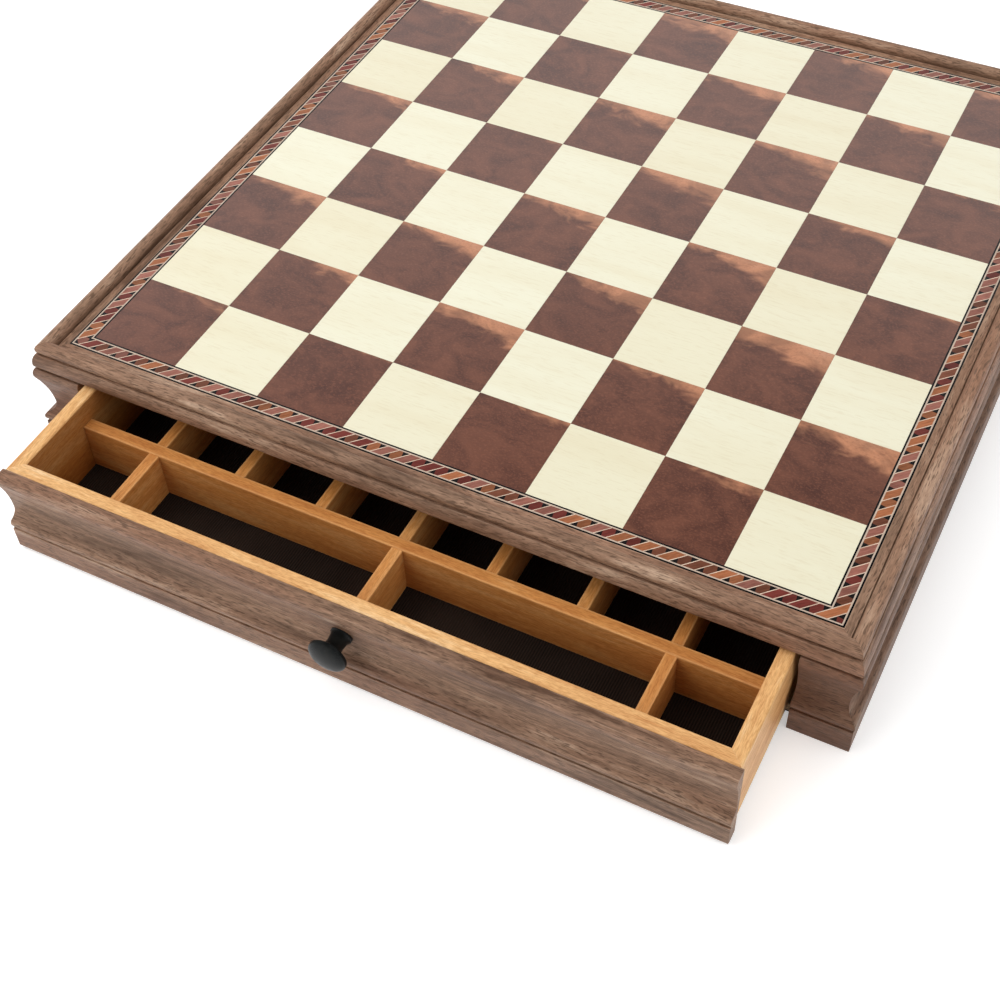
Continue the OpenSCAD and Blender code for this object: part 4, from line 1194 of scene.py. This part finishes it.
def rope_plans(inner, outer, b, colours):
    """Plans and colours of the rope banding's tiles.

    All slanting lines run in the direction (1, 1), so each is a line of constant s = x - y, and they lie half
    a step either side of the whole steps of s. On the front strip a point that is v in from the outer edge has
    x = s - outer + v. Odd steps hold one plain tile, even steps a middle tile between two black corners. The
    right strip is the front strip mirrored about the corner's mitre, and the other two strips are these two
    turned by half a turn.
    """
    width, last = outer - inner, 2 * b.rope_pairs
    step = 2 * inner / (last + 0.5)
    edge, near, tall = b.rope_line_w / (2 * step), b.notch_w, b.notch_h

    def front(steps, shares):
        """Points of the front strip from steps of s and shares of the band's width, counted inwards."""
        s, v = (np.asarray(steps) - 0.5) * step, np.asarray(shares) * width
        return np.stack((s - outer + v, v - outer), axis=-1)

    plain = np.array([[edge, 0], [1 - edge, 0], [1 - edge, 1], [edge, 1]])
    black = [
        np.array([[edge, 0], [near, 0], [edge, tall]]),
        np.array([[1 - edge, 1], [1 - near, 1], [1 - edge, 1 - tall]]),
    ]
    lozenge = np.array([
        [near, 0], [1 - edge, 0], [1 - edge, 1 - tall], [1 - near, 1], [edge, 1], [edge, tall],
    ])
    line = np.array([[1 - edge, 0], [1 + edge, 0], [1 + edge, 1], [1 - edge, 1]])
    odd, even = [(plain, "plain")], [(black[0], "black"), (black[1], "black"), (lozenge, "middle")]
    one_side, kinds = [], []
    for k in range(1, last + 1):
        for shape, kind in odd if k % 2 else even:
            one_side.append(front(k + shape[:, 0], shape[:, 1]))
            kinds.append(kind)
    for k in range(last):
        one_side.append(front(k + line[:, 0], line[:, 1]))
        kinds.append("line")

    def mirrored(plan):
        """The plan mirrored about the mitre, with its points in the other order."""
        return -np.asarray(plan)[::-1, ::-1]

    halves = one_side + [mirrored(plan) for plan in one_side]
    kinds = kinds + kinds
    corners, corner_kinds = [], []

    def across(first, second, kind):
        """A tile that crosses the corner, from the front strip's outer edge to the right strip's."""
        low, high = front(first, 0.0), front(second, 0.0)
        corners.append(np.array([low, high, mirrored([high])[0], mirrored([low])[0]]))
        corner_kinds.append(kind)

    # The corner where the strips' lines lie square to the mitre.
    start = last + 1
    across(start - edge, start + edge, "line")
    across(start + edge, start + 1 - edge, "plain")
    across(start + 1 - edge, start + 1 + edge, "line")
    tip = front(start + 1 + near, 0.0)
    low, high = front(start + 1 + edge, 0.0), front(start + 1 + edge, tall)
    corners += [np.array([low, tip, high]), mirrored([low, tip, high])]
    corners.append(np.array([high, tip, [outer, -outer], *mirrored([high, tip])]))
    corner_kinds += ["black", "black", "middle"]
    # The corner where the lines lie along the mitre: the tile there is folded about s = 0.
    fold = (0.5 - edge) * step
    toe, shoulder = np.array([fold - outer, -outer]), front(1 - edge, 1 - tall)
    inside, elbow = front(1 - edge, 1.0), np.array([-inner, -inner])
    dip = front(0.5, 1 - tall * (1 - 0.5 / near))
    swap = [[0, 1], [1, 0]]
    corners.append(np.array([[-outer, -outer], toe, toe @ swap]))
    corners.append(np.array([toe, shoulder, dip, shoulder @ swap, toe @ swap]))
    corners.append(np.array([shoulder, inside, elbow, dip]))
    corners.append(np.array([dip, elbow, inside @ swap, shoulder @ swap]))
    corner_kinds += ["black", "middle", "black", "black"]
    plans = halves + corners
    kinds = kinds + corner_kinds
    plans = plans + [-np.asarray(plan) for plan in plans]
    kinds = kinds + kinds
    # Each tile takes one of four woods and its own lightness: plain tiles are mostly pink, middle tiles mostly brown.
    rng = chance("rope_woods")
    woods = np.array([colours.rope_pink, colours.rope_orange, colours.rope_crimson, colours.rope_brown])
    pale, light = np.array(colours.pale_line), rng.uniform(0.82, 1.18, (len(plans), 1))
    plain_wood = woods[rng.choice(4, len(plans), p=(0.45, 0.27, 0.16, 0.12))] * light
    middle_wood = woods[rng.choice(4, len(plans), p=(0.16, 0.18, 0.30, 0.36))] * 0.75 * light
    kinds = np.array(kinds)
    wood = np.where((kinds == "plain")[:, None], plain_wood, middle_wood)
    wood = np.where((kinds == "black")[:, None], np.array(colours.rope_black), wood)
    wood = np.where((kinds == "line")[:, None], np.minimum(pale * 1.3, 0.9), wood)
    return plans, np.column_stack((wood, np.ones(len(wood))))


def drawer_shift(side):
    """The turn and shift that put a piece of a shut front drawer into its own: 0 is the front one, 1 the back."""
    return (0, (0, -in_mm("chessbox_drawers").pull, 0)) if side == 0 else (2, (0, 0, 0))


def drawer_bar(side, name, outline, ends, slopes, finish, turns, shift=(0, 0, 0), **details):
    """A bar of a shut front drawer, turned and shifted into the drawer that it belongs to."""
    extra, moved = drawer_shift(side)
    place = turned_about(np.asarray(shift, float), extra) + moved
    return bar(name, outline, ends, slopes, finish, turns + extra, place, **details)


class CHESSBOX_OT_facings(Operator):
    """Make the moulded walnut facings of the two drawers"""

    bl_idname = "chessbox.facings"
    bl_label = "Drawer facings"
    bl_options = {"REGISTER", "UNDO"}

    def execute(self, context):
        d, finish = in_mm("chessbox_drawers"), walnut("facing")
        for side, body in enumerate(DRAWERS):
            name, ends = body + "_facing", (-d.facing_half, d.facing_half)
            piece = drawer_bar(side, name + "_moulded", facing_outline(), ends, (0, 0), finish, 3)
            dress(piece, body, "walnut", name)
        return {"FINISHED"}


class CHESSBOX_OT_boxes(Operator):
    """Make the drawers' inner fronts, sides and backs, mitred at the corners, with a rounded rim"""

    bl_idname = "chessbox.boxes"
    bl_label = "Drawer boxes"
    bl_options = {"REGISTER", "UNDO"}

    def execute(self, context):
        d, c, finish = in_mm("chessbox_drawers"), in_mm("chessbox_case"), boxwood("boxes")
        front = c.plinth_face - d.facing_t
        middle, half_depth = (front + d.box_back) / 2, (front - d.box_back) / 2
        for side, body in enumerate(DRAWERS):
            for part, turns, half, other in (
                ("inner_front", 3, half_depth, d.box_half),
                ("back", 1, half_depth, d.box_half),
                ("right_side", 0, d.box_half, half_depth),
                ("left_side", 2, d.box_half, half_depth),
            ):
                outline = board_outline() + [half - d.side_t, d.box_z]
                reach = other - half

                def painted_inner_shade(section):
                    """Painted shade on the inner face, darker towards its foot."""
                    x, z = section.T
                    inside = (x < half - d.side_t + TOUCH) & (z < d.rim_z - d.rim_r + TOUCH)
                    return inside * (0.9 - 0.3 * (z - d.box_z) / (d.rim_z - d.box_z))

                piece = drawer_bar(
                    side, f"{body}_{part}_board", outline, (-reach, reach), (-1, 1), finish, turns,
                    (0, -middle, 0), edge=d.board_arris, end_edge=d.mitre_arris, dirt=painted_inner_shade,
                )
                dress(piece, body, "boxwood", f"{body}_{part}")
        return {"FINISHED"}


class CHESSBOX_OT_dividers(Operator):
    """Make the long divider and the seven cross dividers of each drawer"""

    bl_idname = "chessbox.dividers"
    bl_label = "Dividers"
    bl_options = {"REGISTER", "UNDO"}

    def execute(self, context):
        d, c, finish = in_mm("chessbox_drawers"), in_mm("chessbox_case"), boxwood("dividers")
        front = c.plinth_face - d.facing_t
        cell_front, cell_back, cell_half = front - d.side_t, d.box_back + d.side_t, d.box_half - d.side_t
        long_front = cell_front - d.trough_w
        long_back, foot = long_front - d.long_t, d.box_z + d.bottom_rise + d.bottom_t + d.lining_t
        pitch = (2 * cell_half + d.cross_t) / d.cells
        for side, body in enumerate(DRAWERS):
            outline = block_outline(long_back, long_front, foot, d.long_top)
            half = cell_half - d.fit
            piece = drawer_bar(
                side, body + "_long_board", outline, (-half, half), (0, 0), finish, 3, edge=d.divider_arris
            )
            dress(piece, body, "boxwood", body + "_long_divider")
            for k in range(1, d.cells):
                middle = k * pitch - cell_half - d.cross_t / 2
                reach = cell_front if (k - 1) % d.through_step == 0 else long_back
                outline = block_outline(middle - d.cross_t / 2, middle + d.cross_t / 2, foot, d.cross_top)
                ends = (d.fit - reach, -cell_back - d.fit)
                piece = drawer_bar(
                    side, f"{body}_cross_board_{k}", outline, ends, (0, 0), finish, 0, edge=d.divider_arris
                )
                dress(piece, body, "boxwood", f"{body}_divider_{k}")
        return {"FINISHED"}


class CHESSBOX_OT_linings(Operator):
    """Lay the ribbed cloth linings in the drawers"""

    bl_idname = "chessbox.linings"
    bl_label = "Linings"
    bl_options = {"REGISTER", "UNDO"}

    def execute(self, context):
        d, c, colours = in_mm("chessbox_drawers"), in_mm("chessbox_case"), settings("chessbox_finish")
        front = c.plinth_face - d.facing_t
        middle, half_d = (front + d.box_back) / 2, (front - d.box_back) / 2 - d.side_t - d.fit
        half_w, foot = d.box_half - d.side_t - d.fit, d.box_z + d.bottom_rise + d.bottom_t
        finish = material("lining_cloth", cloth_finish, shade=colours.cloth, rib=0.0011, sheen=0.05)
        for side, body in enumerate(DRAWERS):
            turn, shift = drawer_shift(side)
            centre = turned_about(np.array([0.0, -middle, 0.0]), turn) + shift
            piece = cloth(body + "_cloth", half_w, half_d, foot, d.lining_t, centre, finish)
            dress(piece, body, "lining_cloth", body + "_lining")
        return {"FINISHED"}


class CHESSBOX_OT_baize(Operator):
    """Lay the black baize under the case, with a tongue below each drawer facing"""

    bl_idname = "chessbox.baize"
    bl_label = "Baize underlay"
    bl_options = {"REGISTER", "UNDO"}

    def execute(self, context):
        d, c, colours = in_mm("chessbox_drawers"), in_mm("chessbox_case"), settings("chessbox_finish")
        wide, deep = c.wall_in + c.rebate_w - d.fit, c.wall_in - d.fit
        tongue, reach = d.facing_half - d.fit, c.plinth_face - d.facing_t - d.shut_gap - d.fit
        finish = material("black_baize", cloth_finish, shade=colours.baize, rib=0.0007, sheen=0.2)
        outline = np.array([
            [-wide, -deep], [-tongue, -deep], [-tongue, -reach],
            [tongue, -reach], [tongue, -deep], [wide, -deep],
            [wide, deep], [tongue, deep], [tongue, reach],
            [-tongue, reach], [-tongue, deep], [-wide, deep],
        ])
        piece = prisms("baize_cloth", [outline], 0.0, c.baize_t, BAIZE_EDGE, finish, lambda i, points: points)
        dress(piece, "case", "black_baize", "baize_underlay")
        return {"FINISHED"}


class CHESSBOX_OT_knobs(Operator):
    """Turn the two black knobs"""

    bl_idname = "chessbox.knobs"
    bl_label = "Knobs"
    bl_options = {"REGISTER", "UNDO"}

    def execute(self, context):
        k, c, finish = in_mm("chessbox_knob"), in_mm("chessbox_case"), material("black_knob", knob_finish)
        foot, neck, rim = k.foot_d / 2, k.neck_d / 2, k.rim_d / 2
        neck_l = (k.knob_l - k.rim_t - k.foot_t) / 2
        outline = np.vstack((
            [[foot, 0]],
            arc(foot, k.foot_t + neck_l, foot - neck, neck_l, 270, 180, steps=14),
            arc(rim, k.foot_t + neck_l, rim - neck, neck_l, 180, 90, steps=18)[1:],
            arc(0, k.knob_l, rim, k.dome, 0, 90, steps=24)[:-1],
        ))
        poles = [[0, 0]], [[0, k.knob_l + k.dome]]
        shape, _ = softened(np.vstack((poles[0], outline, poles[1])), k.arris, band=0.3, sharp=35)
        # The rounding cuts off the poles: they are put back, and the outline starts at the foot's edge again.
        shape = shape[shape[:, 0] > TOUCH]
        shape = np.roll(shape, -int(np.argmin(np.hypot(shape[:, 0] - foot, shape[:, 1]))), axis=0)
        shape = np.vstack((poles[0], shape, poles[1]))
        # The foot sits on the cove's deepest line.
        place = np.array([0.0, c.cove_inset - c.plinth_face, k.knob_z])
        for side, body in enumerate(DRAWERS):
            turn, shift = drawer_shift(side)
            piece = turned(body + "_turned_knob", shape, place + shift, turn, finish)
            dress(piece, body, "black_knob", body + "_knob")
        return {"FINISHED"}


class CHESSBOX_OT_hidden(Operator):
    """Finish the boards, strips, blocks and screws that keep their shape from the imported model"""

    bl_idname = "chessbox.hidden"
    bl_label = "Boards and screws"
    bl_options = {"REGISTER", "UNDO"}

    def execute(self, context):
        plywood, steel = material("plywood", plywood_finish), material("screw_steel", steel_finish)
        guide = material("guide_strips", guide_finish)
        kept = {
            "bottom_panel": plywood, "centre_partition": plywood, "glue_blocks": plywood,
            "board_core": plywood, "left_guide_strip": guide, "right_guide_strip": guide,
            "bottom_screws": steel, "guide_screws": steel,
        }
        kept |= {body + "_bottom": plywood for body in DRAWERS}
        kept |= {body + "_knob_screw": steel for body in DRAWERS}
        for name, finish in kept.items():
            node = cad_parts[name]
            if not node.data.materials:
                node.data.materials.append(finish)
            for slot in node.material_slots:
                slot.material = finish
        return {"FINISHED"}


class CHESSBOX_OT_stage(Operator):
    """Set the camera, the lamps, the pale floor and the white backdrop"""

    bl_idname = "chessbox.stage"
    bl_label = "Stage"
    bl_options = {"REGISTER", "UNDO"}

    def execute(self, context):
        s, scene = settings("chessbox_stage"), context.scene
        scene.view_settings.view_transform = "Standard"
        camera = bpy.data.objects.new("camera", bpy.data.cameras.new("camera"))
        camera.location = s.camera_place
        camera.rotation_mode = "QUATERNION"
        camera.rotation_quaternion = Quaternion(s.camera_turn)
        camera.data.lens, camera.data.sensor_width = s.camera_lens, s.camera_sensor
        camera.data.clip_start, camera.data.clip_end = CLIP
        scene.collection.objects.link(camera)
        scene.camera = camera
        aim = (Vector(CAD_BOX[0]) + Vector(CAD_BOX[1])) / 2
        for name in ("key", "fill", "side"):
            place, size, power = (getattr(s, f"{name}_{part}") for part in ("place", "size", "power"))
            lamp = bpy.data.objects.new(name, bpy.data.lights.new(name, "AREA"))
            lamp.data.shape, lamp.data.size, lamp.data.energy = "DISK", size, power
            lamp.location = place
            lamp.visible_glossy = False
            lamp.rotation_mode = "QUATERNION"
            lamp.rotation_quaternion = (aim - Vector(place)).to_track_quat("-Z", "Y")
            scene.collection.objects.link(lamp)
        self.make_floor(s)
        self.make_backdrop(s, scene)
        return {"FINISHED"}

    def make_floor(self, s):
        """A disk of rings about the origin, at table height: faintly mottled, and whiter where it is only seen."""
        ring, rings = np.array(FLOOR_RINGS)[:, None] / MM, len(FLOOR_RINGS)
        angle = np.linspace(0, 2 * np.pi, FLOOR_SIDES, endpoint=False)
        points = np.stack((ring * np.cos(angle), ring * np.sin(angle), np.zeros((rings, FLOOR_SIDES))), -1)
        points = points.reshape(-1, 3)
        faces = grid_faces(rings, FLOOR_SIDES).tolist() + [list(range(FLOOR_SIDES))]
        floor = Finish("floor")
        mottle = floor.between(floor.noise(floor.object_place(), scale=14, detail=3), 0.3, 0.7)
        away = floor.length_of(floor.object_place())
        lift = floor.between(away, *FLOOR_FADE, s.floor_lift, s.floor_lift_far)
        floor.surface(
            Base_Color=floor.mix(mottle, (s.floor_tone,) * 3, (s.floor_tone * 0.985,) * 3),
            Roughness=0.85, Specular_IOR_Level=0.1, Emission_Color=(1.0, 1.0, 1.0, 1.0),
            Emission_Strength=floor.maths("MULTIPLY", floor.only_seen(), lift),
        )
        make_mesh("floor", points, faces, points, None, floor.material, False)

    def make_backdrop(self, s, scene):
        """The world: even daylight, shown as plain white to the camera and in glossy and clear surfaces."""
        scene.world = bpy.data.worlds.new("backdrop")
        scene.world.use_nodes = True
        world, white = NodeTree(scene.world.node_tree), (1.0, 1.0, 1.0, 1.0)
        # The white stands like a tall sweep all round, and fades overhead, where only reflections see it.
        height = world.part_of(world.add("TexCoord", {}, "Generated"), 2)
        fade = world.between(height, *WORLD_FADE, 1.0, s.overhead)
        light = world.add("Background", {"Color": white, "Strength": s.daylight})
        sweep = world.add("Background", {"Color": white, "Strength": fade})
        shown = world.add("MixShader", {0: world.only_seen(), 1: light, 2: sweep})
        world.add("OutputWorld", {"Surface": shown})


MAKERS = (
    CHESSBOX_OT_case, CHESSBOX_OT_rails, CHESSBOX_OT_squares, CHESSBOX_OT_stringing, CHESSBOX_OT_rope,
    CHESSBOX_OT_facings, CHESSBOX_OT_boxes, CHESSBOX_OT_dividers, CHESSBOX_OT_linings, CHESSBOX_OT_baize,
    CHESSBOX_OT_knobs, CHESSBOX_OT_hidden, CHESSBOX_OT_stage,
)


class CHESSBOX_PT_parts(Panel):
    """Lists the makers of the chess box's parts."""

    bl_label = "Chess box"
    bl_space_type = "VIEW_3D"
    bl_region_type = "UI"
    bl_category = "Chess box"

    def draw(self, context):
        for maker in MAKERS:
            self.layout.operator(maker.bl_idname)


def register():
    """Adds the sizes to the scene, and the operators and the panel to Blender."""
    for part, group in PARTS.items():
        bpy.utils.register_class(group)
        setattr(bpy.types.Scene, part, PointerProperty(type=group))
    for maker in (*MAKERS, CHESSBOX_PT_parts):
        bpy.utils.register_class(maker)


def unregister():
    """Takes away what register added."""
    for maker in (CHESSBOX_PT_parts, *reversed(MAKERS)):
        bpy.utils.unregister_class(maker)
    for part, group in reversed(PARTS.items()):
        delattr(bpy.types.Scene, part)
        bpy.utils.unregister_class(group)


def main():
    """Makes every part through its operator."""
    register()
    for maker in MAKERS:
        part = maker.bl_idname.split(".")[1]
        getattr(bpy.ops.chessbox, part)()
    bpy.context.view_layer.update()


if __name__ == "__main__":
    main()
